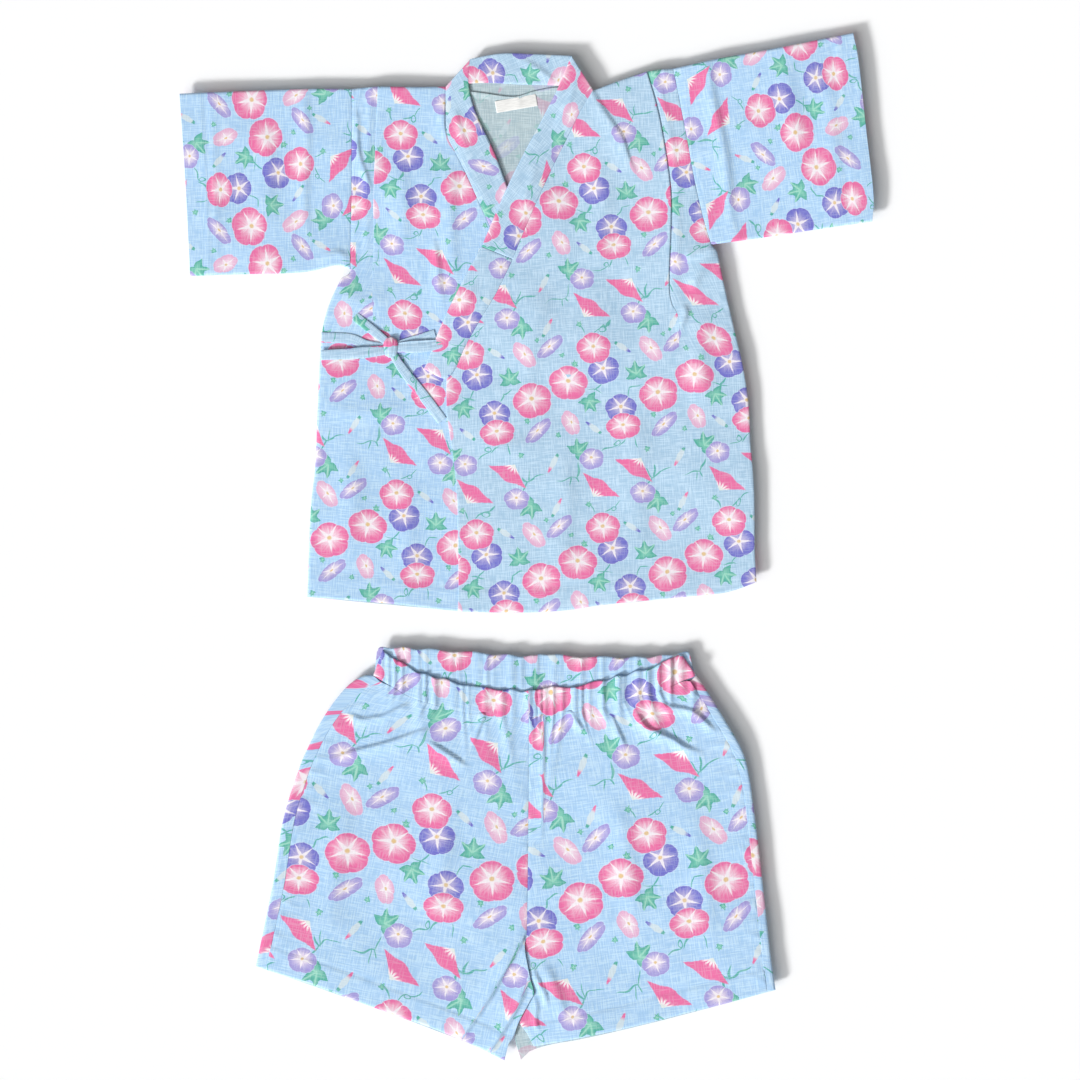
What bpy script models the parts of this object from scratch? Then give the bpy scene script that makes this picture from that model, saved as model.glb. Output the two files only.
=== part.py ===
"""A child's jinbei set laid flat: a wrap jacket tied at the side, and elastic-waist shorts.

Every cut piece of cloth is a wall of its own, and the pieces lie on each other as laid cloth does:
back, under front, over front. Right and left are the wearer's, and the front faces up, so the
wearer's right is at -X. Lengths in the tables are millimetres; the meshes are in metres.
"""
from collections import namedtuple
from math import cos, hypot, pi

import bmesh
import bpy

MM = 0.001

# Driving dimensions
CLOTH = 1.0                 # thickness of one layer of cloth
GAP = 0.3                   # clearance between pieces, at seams and between layers
SEAM = 0.35                 # the same clearance, measured across a slanted seam
SLEEVE_GAP = 1.0            # air between a flat sleeve's two layers
SLEEVE_FOLD = 0.7           # chamfer of a sleeve's folded edges
TUCK_RISE = 1.2             # how far a shoulder tuck's fold stands above the cloth beside it
TUCK_LIP = 0.6              # width of the step at a tuck's fold
WRAP = 7.0                  # how far a shorts back wraps round the side edge onto the front
GATHER_PITCH = 10.0         # spacing of the gathers along the elastic waist
GATHER_RISE = 1.0           # height of the gathers
TIE_WIDTH = 9.0
KNOT_SIZE = (12.0, 13.0, 5.0)
KNOT_BEVEL = 2.2
LABEL_SIZE = (35.0, 12.0)
LABEL_TILT = 10.0           # degrees, anticlockwise seen from above

# Levels of the undersides, from the surface up
LEVEL_BACK = 0.0
LEVEL_FRONT = LEVEL_BACK + CLOTH + GAP
LEVEL_OVER = LEVEL_FRONT + CLOTH + GAP
LEVEL_LOOP = LEVEL_OVER + CLOTH + GAP

# Edges of the top: (x, y), y towards the neck
NECK = ((-66.8, 386.0), (-10.0, 379.0), (26.0, 385.0), (55.4, 382.5))
SHOULDER_RIGHT = ((-146.3, 384.0), (-66.8, 386.0))
SHOULDER_LEFT = ((55.4, 382.5), (123.0, 401.0))
SIDE_RIGHT = ((-146.3, 384.0), (-147.7, 228.0), (-155.0, 225.5), (-170.0, 188.0), (-175.0, 122.0),
              (-177.4, 66.0), (-184.0, -42.4))
SIDE_LEFT = ((123.0, 401.0), (155.0, 253.0), (160.0, 247.4), (174.0, 184.0), (186.4, 119.0),
             (191.0, 48.0), (193.0, -30.0))
HEM_BACK = ((-184.0, -42.4), (-57.5, -54.0), (-4.0, -55.4), (64.0, -49.0), (193.0, -30.0))

# The shoulder tucks' folds, from the shoulder down, and on to the hem as a plain line of the grid
TUCK_RIGHT = ((-124.7, 384.6), (-127.0, 331.0), (-128.5, 289.0), (-128.0, 258.0), (-129.0, 200.0),
              (-104.0, -49.7))
TUCK_LEFT = ((101.0, 395.0), (109.0, 371.0), (115.0, 342.0), (121.5, 282.0), (119.7, 224.0),
             (127.0, 190.0), (112.0, -41.9))
TUCK_RIGHT_ENDS = (289.0, 205.0)     # y where the tuck starts to fade, and where it is gone
TUCK_LEFT_ENDS = (240.0, 188.0)

# The collar band: its seam to the front, and its free inner edge, from the shoulder down
BAND_SEAM_RIGHT = ((-66.8, 386.0), (-67.6, 351.0), (-51.0, 315.0), (-35.0, 280.0), (-18.0, 243.0),
                   (6.0, 195.0), (29.0, 149.0))
BAND_EDGE_RIGHT = ((-47.5, 408.5), (-48.0, 386.0), (-42.4, 364.0), (-16.0, 302.0), (3.5, 254.0),
                   (27.5, 206.0), (50.5, 160.0))
BAND_END_RIGHT = ((29.0, 149.0), (36.5, 141.0), (50.5, 160.0))
BAND_SEAM_LEFT = ((55.4, 382.5), (34.0, 344.0), (8.5, 291.0), (-12.4, 241.0))
BAND_EDGE_LEFT = ((37.5, 412.0), (26.0, 384.0), (7.5, 348.0), (-16.0, 302.0), (-37.0, 251.0))
BAND_SEAM_LEFT_END = ((-12.4, 241.0), (-34.0, 200.0), (-60.0, 149.0))
BAND_EDGE_LEFT_END = ((-37.0, 251.0), (-48.8, 232.0), (-73.0, 182.5), (-86.0, 149.0))
BAND_END_LEFT = ((-86.0, 149.0), (-69.0, 140.0), (-60.0, 149.0))
FRONT_EDGE_RIGHT = ((29.0, 149.0), (36.5, 140.0), (31.0, 31.0), (30.0, -53.0))
FRONT_EDGE_LEFT = ((-60.0, 149.0), (-67.0, 139.0), (-66.0, 105.0), (-58.0, 37.0), (-57.5, -54.0))
COLLAR_TOP = ((-46.6, 409.5), (-21.0, 414.0), (38.0, 412.0))

# Where the over front comes down from the under pieces to the back: x beyond their edge
COVER_EDGE = ((-47.5, 408.5), (-16.0, 302.0), (50.5, 160.0), (50.5, -60.0))
COVER_MARGIN = 20.0
COVER_RAMP = 25.0

# Flat sleeves: a section's top and bottom points, from the cuff to the armhole
SleeveSection = namedtuple("SleeveSection", "top_x top_y bottom_x bottom_y")
SLEEVE_RIGHT = (
    SleeveSection(-291.0, 380.0, -282.0, 227.0),
    SleeveSection(-240.0, 382.0, -236.0, 228.5),
    SleeveSection(-186.0, 384.0, -188.0, 230.0),
    SleeveSection(-160.0, 384.0, -162.0, 235.5),
    SleeveSection(-146.8, 384.0, -148.2, 236.0),
)
SLEEVE_LEFT = (
    SleeveSection(274.0, 431.0, 291.0, 272.6),
    SleeveSection(240.0, 424.5, 243.0, 266.0),
    SleeveSection(204.0, 417.0, 204.0, 260.0),
    SleeveSection(160.0, 409.0, 172.0, 255.5),
    SleeveSection(123.5, 401.2, 155.3, 254.0),
)

# Ties: the middle line of each stretch, seen from above
TIE_SIDE = ((-170.5, 175.3), (-148.0, 173.3), (-135.0, 165.5), (-120.4, 166.0))
TIE_BAND = ((-78.5, 176.0), (-92.0, 172.5), (-107.6, 168.6))
TIE_END_UPPER = ((-118.0, 174.2), (-131.0, 185.0), (-144.0, 193.0))
TIE_END_LOWER = ((-109.2, 157.4), (-92.0, 135.0), (-70.6, 104.6))
LOOP_RIGHT = ((-120.4, 164.5), (-172.0, 161.0))
LOOP_LEFT = ((-107.6, 165.5), (-70.0, 169.0))
KNOT_AT = (-114.0, 166.0)
LABEL_AT = (-5.0, 372.0)

# Edges of the shorts
WAIST_BACK = ((-125.0, -88.0), (-100.0, -85.5), (3.0, -92.0), (81.0, -93.0), (134.0, -89.0))
WAIST_BACK_FOOT = ((-128.0, -107.0), (-100.0, -108.0), (3.0, -114.0), (141.0, -107.0))
WAIST_FRONT = ((-119.0, -86.5), (-91.0, -105.0), (-46.0, -117.0), (2.0, -121.0), (60.0, -113.0),
               (107.0, -100.5), (129.0, -89.5))
WAIST_FRONT_FOOT = ((-129.0, -110.0), (-100.0, -128.0), (-50.0, -140.0), (2.0, -144.0),
                    (62.0, -136.0), (110.0, -123.0), (143.0, -110.0))
HIP_RIGHT = ((-128.2, -107.5), (-149.0, -116.0), (-173.0, -148.0), (-191.0, -187.0),
             (-204.0, -229.0), (-213.0, -284.0), (-227.0, -352.0))
HIP_LEFT = ((141.2, -107.5), (152.0, -122.0), (168.0, -148.0), (187.0, -193.0), (196.0, -262.5),
            (209.0, -372.0))
CROTCH_Y = -318.0
CENTRE_X = 2.0
# the two legs' inner edges run side by side from the crotch, then part above the hems
INSEAM = ((-1.3, -336.0), (6.0, -374.0), (-0.8, -388.0), (-6.0, -398.0))
INSEAM_RIGHT = INSEAM + ((-11.4, -412.0), (-18.5, -431.0))
INSEAM_LEFT = INSEAM + ((6.4, -419.6),)
INSEAM_BACK_LEFT = INSEAM + ((-10.4, -412.0), (-4.6, -431.0))
HEM_RIGHT = ((-227.0, -352.0), (-123.0, -389.0), (-43.0, -419.0), (-18.5, -431.0))
HEM_LEFT = ((6.4, -419.6), (91.0, -402.5), (166.0, -383.0), (209.0, -372.0))
HEM_BACK_LEFT = ((-4.6, -431.0), (6.4, -420.0), (91.0, -403.0), (166.0, -383.5), (209.0, -372.0))

PRINTED = (0.42, 0.68, 0.80)
PRINTED_SLEEVE = (0.43, 0.70, 0.88)
WRONG_SIDE = (0.45, 0.55, 0.53)
LABEL_WHITE = (0.85, 0.85, 0.84)


def smooth(value):
    """Ease from 0 to 1 as value goes from 0 to 1."""
    value = min(1.0, max(0.0, value))
    return value * value * (3.0 - 2.0 * value)


def shifted(edge, dx=0.0, dy=0.0):
    """An edge moved sideways, for the far side of a seam."""
    return tuple((x + dx, y + dy) for x, y in edge)


def x_at(edge, y):
    """Where an edge that runs down the cloth is at a given y."""
    for (x0, y0), (x1, y1) in zip(edge, edge[1:]):
        if y >= y1:
            return x0 + (x1 - x0) * (y0 - y) / (y0 - y1)
    return edge[-1][0]


def walk(edge, count):
    """Place count points evenly along an edge, with every bend of the edge among them."""
    lengths = [0.0]
    for (x0, y0), (x1, y1) in zip(edge, edge[1:]):
        lengths.append(lengths[-1] + hypot(x1 - x0, y1 - y0))
    stops = [lengths[-1] * i / (count - 1) for i in range(count)]
    taken = 0
    for number, length in enumerate(lengths[1:-1], start=1):
        room = count - 1 - (len(edge) - 1 - number)
        nearest = round(length / lengths[-1] * (count - 1))
        taken = min(room, max(taken + 1, nearest))
        stops[taken] = length
    stops.sort()
    points = []
    leg = 0
    for stop in stops:
        while leg < len(edge) - 2 and stop > lengths[leg + 1]:
            leg += 1
        share = (stop - lengths[leg]) / (lengths[leg + 1] - lengths[leg])
        (x0, y0), (x1, y1) = edge[leg], edge[leg + 1]
        points.append((x0 + (x1 - x0) * share, y0 + (y1 - y0) * share))
    return points


def panel(top, bottom, left, right, columns, rows):
    """Fill four edges with a grid of points, row by row from the top (a Coons patch)."""
    tops, bottoms = walk(top, columns), walk(bottom, columns)
    lefts, rights = walk(left, rows), walk(right, rows)
    grid = []
    for r in range(rows):
        v = r / (rows - 1)
        row = []
        for c in range(columns):
            u = c / (columns - 1)
            point = []
            for axis in (0, 1):
                ruled = (1 - v) * tops[c][axis] + v * bottoms[c][axis]
                ruled += (1 - u) * lefts[r][axis] + u * rights[r][axis]
                corners = (1 - v) * ((1 - u) * tops[0][axis] + u * tops[-1][axis])
                corners += v * ((1 - u) * bottoms[0][axis] + u * bottoms[-1][axis])
                point.append(ruled - corners)
            row.append(tuple(point))
        grid.append(row)
    return grid


def cloth_material(name, colour, roughness=0.85):
    material = bpy.data.materials.new(name)
    material.use_nodes = True
    shader = material.node_tree.nodes["Principled BSDF"]
    shader.inputs["Base Color"].default_value = (*colour, 1.0)
    shader.inputs["Roughness"].default_value = roughness
    shader.inputs["Metallic"].default_value = 0.0
    return material


def add_object(name, bm, colour):
    mesh = bpy.data.meshes.new(name)
    bm.to_mesh(mesh)
    bm.free()
    mesh.materials.append(cloth_material(name, colour))
    piece = bpy.data.objects.new(name, mesh)
    bpy.context.scene.collection.objects.link(piece)
    return piece


def cloth_grid(points):
    """A one-sided grid of cloth through rows of (x, y, z) points, facing up."""
    rows, columns = len(points), len(points[0])
    bm = bmesh.new()
    made = bmesh.ops.create_grid(bm, x_segments=columns - 1, y_segments=rows - 1, size=1.0)
    # create_grid numbers its vertices from -Y up, and the tables run from the neck down
    for number, vertex in enumerate(made["verts"]):
        x, y, z = points[rows - 1 - number // columns][number % columns]
        vertex.co = (x * MM, y * MM, z * MM)
    bm.normal_update()
    return bm


def thicken(bm, thickness=CLOTH, ripple=None):
    """Turn a grid into a wall: extrude it and lift the new face."""
    extruded = bmesh.ops.extrude_face_region(bm, geom=bm.faces[:])
    top = [item for item in extruded["geom"] if isinstance(item, bmesh.types.BMVert)]
    for vertex in top:
        rise = ripple(vertex.co.x / MM, vertex.co.y / MM) if ripple else 0.0
        vertex.co.z += (thickness + rise) * MM
    bmesh.ops.recalc_face_normals(bm, faces=bm.faces[:])


def flat_piece(name, grid, level, colour, thickness=CLOTH, ripple=None):
    """A piece of cloth over a grid of (x, y); level is a number, or a function of x and y."""
    height = level if callable(level) else (lambda x, y: level)
    bm = cloth_grid([[(x, y, height(x, y)) for x, y in row] for row in grid])
    thicken(bm, thickness, ripple)
    return add_object(name, bm, colour)


def over_level(x, y):
    """Underside of the over pieces: up on the under front, down on the back beyond it."""
    beyond = x - x_at(COVER_EDGE, y)
    down = smooth((beyond - COVER_MARGIN) / COVER_RAMP)
    return LEVEL_OVER + (LEVEL_FRONT - LEVEL_OVER) * down


def tucked_front(name, neck_grid, side_grid, level, ends, neck_on_left):
    """A front with its shoulder tuck: the cloth on the neck side rises to the fold's edge.

    The two grids meet at the fold. Beyond it the cloth steps down and goes on to the armhole.
    """
    fades, gone = ends
    share = (1.0, 0.45, 0.1)            # the rise at the fold and at the next columns
    points = []
    for neck_row, side_row in zip(neck_grid, side_grid):
        fold_y = neck_row[-1][1] if neck_on_left else neck_row[0][1]
        rise = TUCK_RISE * smooth((fold_y - gone) / (fades - gone))
        raised = []
        for number, (x, y) in enumerate(neck_row):
            away = len(neck_row) - 1 - number if neck_on_left else number
            lift = rise * share[away] if away < len(share) else 0.0
            raised.append((x, y, level(x, y) + lift))
        plain = [(x, y, level(x, y)) for x, y in side_row]
        points.append(raised + plain if neck_on_left else plain + raised)
    bm = cloth_grid(points)
    thicken(bm)
    return add_object(name, bm, PRINTED)


def sleeve(name, sections):
    """A flat open tube through its sections, its edges folds."""
    height = 2 * CLOTH + SLEEVE_GAP
    fold = SLEEVE_FOLD
    profile = ((1, fold, 0.0), (0, fold, 0.0), (0, 0.0, fold), (0, 0.0, height - fold),
               (0, fold, height), (1, fold, height), (1, 0.0, height - fold), (1, 0.0, fold),
               (1, fold, 0.0))
    points = []
    for section in sections:
        row = []
        for end, inset, z in profile:
            share = inset / hypot(section.top_x - section.bottom_x, section.top_y - section.bottom_y)
            share = share if end else 1.0 - share
            # end 1 is the top fold and end 0 the bottom one
            x = section.top_x + (section.bottom_x - section.top_x) * share
            y = section.top_y + (section.bottom_y - section.top_y) * share
            row.append((x, y, z))
        points.append(row)
    bm = cloth_grid(points)
    bmesh.ops.remove_doubles(bm, verts=bm.verts[:], dist=0.00001)
    outside = max(bm.faces, key=lambda face: face.calc_center_median().z)
    if outside.normal.z < 0:
        bmesh.ops.reverse_faces(bm, faces=bm.faces[:])
    piece = add_object(name, bm, PRINTED_SLEEVE)
    wall = piece.modifiers.new("Wall", "SOLIDIFY")
    wall.thickness = CLOTH * MM
    wall.offset = -1.0
    wall.use_even_offset = True
    return piece


def shorts_back(name, grid, outer_on_left):
    """A back leg panel: flat on the surface, then round the side edge and back onto the front."""
    height = LEVEL_FRONT + CLOTH
    points = []
    for row in grid:
        flat = [(x, y, LEVEL_BACK) for x, y in row]
        x, y = row[0] if outer_on_left else row[-1]
        inward = WRAP - GAP if outer_on_left else GAP - WRAP
        lip = [(x + inward, y, height), (x, y, height)]
        points.append(lip + flat if outer_on_left else flat + lip[::-1])
    bm = cloth_grid(points)
    flat_face = max(bm.faces, key=lambda face: face.calc_area())
    if flat_face.normal.z > 0:
        bmesh.ops.reverse_faces(bm, faces=bm.faces[:])
    piece = add_object(name, bm, PRINTED)
    wall = piece.modifiers.new("Wall", "SOLIDIFY")
    wall.thickness = CLOTH * MM
    wall.offset = -1.0
    wall.use_even_offset = True
    return piece


def gathers(x, y):
    """Height of the elastic's gathers above the plain cloth."""
    return GATHER_RISE * (0.5 + 0.5 * cos(2 * pi * x / GATHER_PITCH))


def ribbon(name, route, level, width=TIE_WIDTH):
    """A flat tie along a route, its ends square."""
    grid = []
    for number, (x, y) in enumerate(route):
        before, after = route[max(number - 1, 0)], route[min(number + 1, len(route) - 1)]
        run = hypot(after[0] - before[0], after[1] - before[1])
        across = (-(after[1] - before[1]) / run * width / 2, (after[0] - before[0]) / run * width / 2)
        grid.append([(x - across[0], y - across[1]), (x + across[0], y + across[1])])
    return flat_piece(name, grid, level, PRINTED)


def bow_loop(name, route):
    """A flat loop of tie: out along the route, round its tip and back above itself."""
    (x0, y0), (x1, y1) = route
    run = hypot(x1 - x0, y1 - y0)
    along = ((x1 - x0) / run, (y1 - y0) / run)
    height = 2 * CLOTH + GAP
    side_view = ((0.0, 0.0), (run / 2, 0.0), (run, 0.0), (run, height), (run / 2, height), (0.0, height))
    points = []
    for distance, rise in side_view:
        row = []
        for side in (-TIE_WIDTH / 2, TIE_WIDTH / 2):
            x = x0 + along[0] * distance - along[1] * side
            y = y0 + along[1] * distance + along[0] * side
            row.append((x, y, LEVEL_LOOP + rise))
        points.append(row)
    bm = cloth_grid(points)
    upper = max(bm.faces, key=lambda face: face.calc_center_median().z)
    if upper.normal.z < 0:
        bmesh.ops.reverse_faces(bm, faces=bm.faces[:])
    piece = add_object(name, bm, PRINTED)
    wall = piece.modifiers.new("Wall", "SOLIDIFY")
    wall.thickness = CLOTH * MM
    wall.offset = -1.0
    wall.use_even_offset = True
    return piece


def build_jacket_back():
    edge_top = SHOULDER_RIGHT + NECK[1:] + SHOULDER_LEFT[1:]
    flat_piece("top_back", panel(edge_top, HEM_BACK, SIDE_RIGHT, SIDE_LEFT, 9, 15), LEVEL_BACK, PRINTED)
    neck_seam = shifted(NECK, dy=SEAM + 0.05)
    left_end = (COLLAR_TOP[0], neck_seam[0])
    right_end = (COLLAR_TOP[-1], (51.0, 391.0), neck_seam[-1])
    flat_piece("collar_neck", panel(COLLAR_TOP, neck_seam, left_end, right_end, 9, 4), LEVEL_BACK, PRINTED)


def build_under_front():
    side_top = ((-146.3, 384.0), TUCK_RIGHT[0])
    side_hem = (SIDE_RIGHT[-1], TUCK_RIGHT[-1])
    side = panel(side_top, side_hem, SIDE_RIGHT, TUCK_RIGHT, 3, 30)
    fold = shifted(TUCK_RIGHT, dx=TUCK_LIP)
    neck_side = BAND_SEAM_RIGHT + FRONT_EDGE_RIGHT[1:]
    neck = panel((fold[0], neck_side[0]), (fold[-1], (-57.5, -53.8), neck_side[-1]), fold, neck_side, 11, 30)
    tucked_front("top_front_right", neck, side, lambda x, y: LEVEL_FRONT, TUCK_RIGHT_ENDS, False)
    band_seam = shifted(BAND_SEAM_RIGHT, dx=SEAM)
    band_end = shifted(BAND_END_RIGHT[:1], dx=SEAM) + BAND_END_RIGHT[1:]
    band = panel((band_seam[0], BAND_EDGE_RIGHT[0]), band_end, band_seam, BAND_EDGE_RIGHT, 3, 22)
    flat_piece("collar_band_right", band, LEVEL_FRONT, PRINTED)


def build_over_front():
    fold = shifted(TUCK_LEFT, dx=-TUCK_LIP)
    front = BAND_SEAM_LEFT + BAND_SEAM_LEFT_END[1:] + FRONT_EDGE_LEFT[1:]
    hem = (FRONT_EDGE_LEFT[-1], (-4.0, -55.4), (64.0, -49.0), fold[-1])
    neck = panel((front[0], fold[0]), hem, front, fold, 14, 27)
    side = panel((TUCK_LEFT[0], SIDE_LEFT[0]), (TUCK_LEFT[-1], SIDE_LEFT[-1]), TUCK_LEFT, SIDE_LEFT, 5, 27)
    tucked_front("top_front_left", neck, side, over_level, TUCK_LEFT_ENDS, True)
    band_top = (BAND_EDGE_LEFT[0], (50.6, 391.0), shifted(BAND_SEAM_LEFT, dx=-SEAM)[0])
    upper_foot = (BAND_EDGE_LEFT[-1], shifted(BAND_SEAM_LEFT, dx=-SEAM)[-1])
    upper = panel(band_top, upper_foot, BAND_EDGE_LEFT, shifted(BAND_SEAM_LEFT, dx=-SEAM), 3, 14)
    flat_piece("collar_band_left", upper, over_level, PRINTED)
    # the lower length starts one gap below the join, along both of its edges
    seam = shifted(BAND_SEAM_LEFT_END, dx=-SEAM)
    seam = ((seam[0][0] - GAP / 2, seam[0][1] - GAP),) + seam[1:]
    edge = ((BAND_EDGE_LEFT_END[0][0] - GAP / 2, BAND_EDGE_LEFT_END[0][1] - GAP),) + BAND_EDGE_LEFT_END[1:]
    end = BAND_END_LEFT[:2] + (seam[-1],)
    lower = panel((edge[0], seam[0]), end, edge, seam, 3, 10)
    flat_piece("collar_band_left_end", lower, over_level, PRINTED)


def build_bow():
    ribbon("tie_side", TIE_SIDE, LEVEL_OVER)
    ribbon("tie_band", TIE_BAND, LEVEL_OVER)
    ribbon("tie_end_upper", TIE_END_UPPER, LEVEL_OVER, width=8.0)
    ribbon("tie_end_lower", TIE_END_LOWER, LEVEL_OVER)
    bow_loop("bow_loop_right", LOOP_RIGHT)
    bow_loop("bow_loop_left", LOOP_LEFT)
    bm = bmesh.new()
    bmesh.ops.create_cube(bm, size=1.0)
    for vertex in bm.verts:
        vertex.co.x = (vertex.co.x * KNOT_SIZE[0] + KNOT_AT[0]) * MM
        vertex.co.y = (vertex.co.y * KNOT_SIZE[1] + KNOT_AT[1]) * MM
        vertex.co.z = ((vertex.co.z + 0.5) * KNOT_SIZE[2] + LEVEL_OVER) * MM
    bmesh.ops.bevel(bm, geom=bm.edges[:], offset=KNOT_BEVEL * MM, segments=3, profile=0.5,
                    affect="EDGES", material=-1)
    add_object("bow_knot", bm, PRINTED)


def build_label():
    tilt = LABEL_TILT * pi / 180
    along = (cos(tilt), cos(pi / 2 - tilt))
    half_length, half_width = LABEL_SIZE[0] / 2, LABEL_SIZE[1] / 2
    grid = []
    for across in (half_width, -half_width):
        row = []
        for length in (-half_length, half_length):
            row.append((LABEL_AT[0] + along[0] * length - along[1] * across,
                        LABEL_AT[1] + along[1] * length + along[0] * across))
        grid.append(row)
    flat_piece("neck_label", grid, LEVEL_FRONT, LABEL_WHITE)


def build_shorts():
    waist_back = panel(WAIST_BACK, WAIST_BACK_FOOT, (WAIST_BACK[0], WAIST_BACK_FOOT[0]),
                       (WAIST_BACK[-1], WAIST_BACK_FOOT[-1]), 108, 2)
    flat_piece("waist_casing_back", waist_back, LEVEL_BACK, WRONG_SIDE, ripple=gathers)
    waist_front = panel(WAIST_FRONT, WAIST_FRONT_FOOT, (WAIST_FRONT[0], WAIST_FRONT_FOOT[0]),
                        (WAIST_FRONT[-1], WAIST_FRONT_FOOT[-1]), 112, 3)
    flat_piece("waist_casing_front", waist_front, LEVEL_OVER, PRINTED, ripple=gathers)

    half_seam = SEAM / 2
    centre_right = ((CENTRE_X - half_seam, WAIST_BACK_FOOT[2][1] - SEAM), (CENTRE_X - half_seam, CROTCH_Y))
    centre_left = shifted(centre_right, dx=SEAM)
    foot = shifted(WAIST_BACK_FOOT, dy=-SEAM)
    back_right = panel((HIP_RIGHT[0], (-100.0, -108.5), centre_right[0]), HEM_RIGHT, HIP_RIGHT,
                       centre_right + INSEAM_RIGHT, 6, 18)
    shorts_back("shorts_back_right", back_right, True)
    inseam_back = shifted(INSEAM_BACK_LEFT[:-1], dx=SEAM) + INSEAM_BACK_LEFT[-1:]
    back_left = panel((centre_left[0], HIP_LEFT[0]), HEM_BACK_LEFT, centre_left + inseam_back, HIP_LEFT, 8, 18)
    shorts_back("shorts_back_left", back_left, False)

    waist = shifted(WAIST_FRONT_FOOT, dy=-SEAM)
    front_centre_right = ((CENTRE_X - half_seam, waist[3][1]), (CENTRE_X - half_seam, CROTCH_Y))
    front_centre_left = shifted(front_centre_right, dx=SEAM)
    seam_right = ((waist[0][0] + 3.0, waist[0][1]),) + shifted(HIP_RIGHT[1:], dx=WRAP)
    seam_left = ((waist[-1][0] - 9.0, waist[-1][1]),) + shifted(HIP_LEFT[1:], dx=-WRAP)
    hem_right = (seam_right[-1],) + HEM_RIGHT[1:]
    hem_left = HEM_LEFT[:-1] + (seam_left[-1],)
    front_right = panel((seam_right[0],) + waist[1:3] + front_centre_right[:1], hem_right, seam_right,
                        front_centre_right + INSEAM_RIGHT, 9, 18)
    flat_piece("shorts_front_right", front_right, LEVEL_FRONT, PRINTED)
    inseam_front = shifted(INSEAM_LEFT[:-1], dx=SEAM) + INSEAM_LEFT[-1:]
    front_left = panel(front_centre_left[:1] + waist[4:6] + (seam_left[0],), hem_left,
                       front_centre_left + inseam_front, seam_left, 9, 18)
    flat_piece("shorts_front_left", front_left, LEVEL_FRONT, PRINTED)


def main():
    for item in list(bpy.data.objects):
        bpy.data.objects.remove(item, do_unlink=True)
    build_jacket_back()
    build_under_front()
    build_over_front()
    sleeve("sleeve_right", SLEEVE_RIGHT)
    sleeve("sleeve_left", SLEEVE_LEFT)
    build_bow()
    build_label()
    build_shorts()


main()
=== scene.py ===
"""A child's jinbei set laid flat: cloth, collar, ties and gathers as fine meshes, and the printed cotton.

Laid out as a Blender add-on, and run as a script: main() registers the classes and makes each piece
through its operator. Tables are in millimetres in the CAD's frame:
+Y towards the neck, and the wearer's left at +X. Meshes are in metres.
"""
from collections import namedtuple
from math import atan2, cos, hypot, pi, radians, sin

import bmesh
import bpy
import numpy as np
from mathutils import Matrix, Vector


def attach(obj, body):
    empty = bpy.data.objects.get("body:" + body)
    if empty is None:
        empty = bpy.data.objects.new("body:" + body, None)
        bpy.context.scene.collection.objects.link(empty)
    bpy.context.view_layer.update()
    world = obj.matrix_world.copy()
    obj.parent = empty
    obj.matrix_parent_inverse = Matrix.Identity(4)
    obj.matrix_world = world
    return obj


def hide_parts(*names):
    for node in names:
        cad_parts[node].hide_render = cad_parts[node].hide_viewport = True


bl_info = {
    "name": "Jinbei Set",
    "version": (1, 0, 0),
    "blender": (4, 5, 0),
    "location": "View3D > Sidebar > Jinbei",
    "description": "Makes a child's jinbei set laid flat, with its printed cotton",
    "category": "Object",
}

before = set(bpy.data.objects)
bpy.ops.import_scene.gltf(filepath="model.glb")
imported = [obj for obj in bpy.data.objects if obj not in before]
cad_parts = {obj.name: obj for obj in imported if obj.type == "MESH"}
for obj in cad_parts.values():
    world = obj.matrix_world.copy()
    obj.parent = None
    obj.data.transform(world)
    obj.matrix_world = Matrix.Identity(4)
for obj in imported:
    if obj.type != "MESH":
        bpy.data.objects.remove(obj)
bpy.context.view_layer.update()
MM = 0.001


def tint(code):
    """A linear colour from its usual hexadecimal code."""
    parts = [int(code[i:i + 2], 16) / 255 for i in (1, 3, 5)]
    return tuple(((c + 0.055) / 1.055) ** 2.4 if c > 0.04045 else c / 12.92 for c in parts)


# ---------------------------------------------------------------- edges of the cut pieces
# A doubled point is a corner; an edge runs smoothly through its other points.
SHOULDER_RIGHT = ((-146.5, 384), (-124.7, 386), (-94, 385.5), (-66.8, 386))
SHOULDER_LEFT = ((55.4, 382.5), (78, 391), (101, 398.6), (123, 401))
ARMHOLE_RIGHT = ((-146.5, 384), (-146.8, 300), (-147.6, 250), (-147.8, 229))
ARMHOLE_LEFT = ((123, 401), (134, 345), (140.5, 309), (147.5, 278), (155, 253))
SIDE_RIGHT = ((-147.8, 229), (-155, 225.5), (-155, 225.5), (-164, 207), (-170, 188), (-172.6, 167),
              (-175, 122), (-177.4, 66), (-181, 31), (-184, -42.4))
SIDE_LEFT = ((155, 253), (160, 247.4), (160, 247.4), (165.6, 220.5), (174, 184), (182, 149), (186.4, 119),
             (188, 87), (191, 48), (191.7, -5.5), (193, -30))
HEM_RIGHT = ((-184, -42.4), (-114, -48), (-57.5, -54), (-4, -54.9), (30, -53.4))
HEM_LEFT = ((-57.5, -54), (-48, -54.8), (-4, -55.4), (31, -53.7), (64, -49), (112, -44.2), (170, -38),
            (193, -30))
HEM_BACK = ((-183.6, -41.8), (-57.5, -53.2), (-4, -54.6), (64, -48.2), (112, -43.6), (192.5, -29.6))
NECKLINE = ((-66.8, 386), (-58, 395), (-36, 400), (-6, 401), (26, 399), (47, 394), (55.4, 382.5))
NECK_SEAM = ((-62, 384), (-36, 380.4), (-10.8, 377.4), (6.5, 382), (26, 385), (52, 383))
TUCK_RIGHT = ((-124.7, 386), (-127, 331), (-128.5, 289), (-128, 258), (-129, 200), (-122, 90), (-104, -49))
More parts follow.
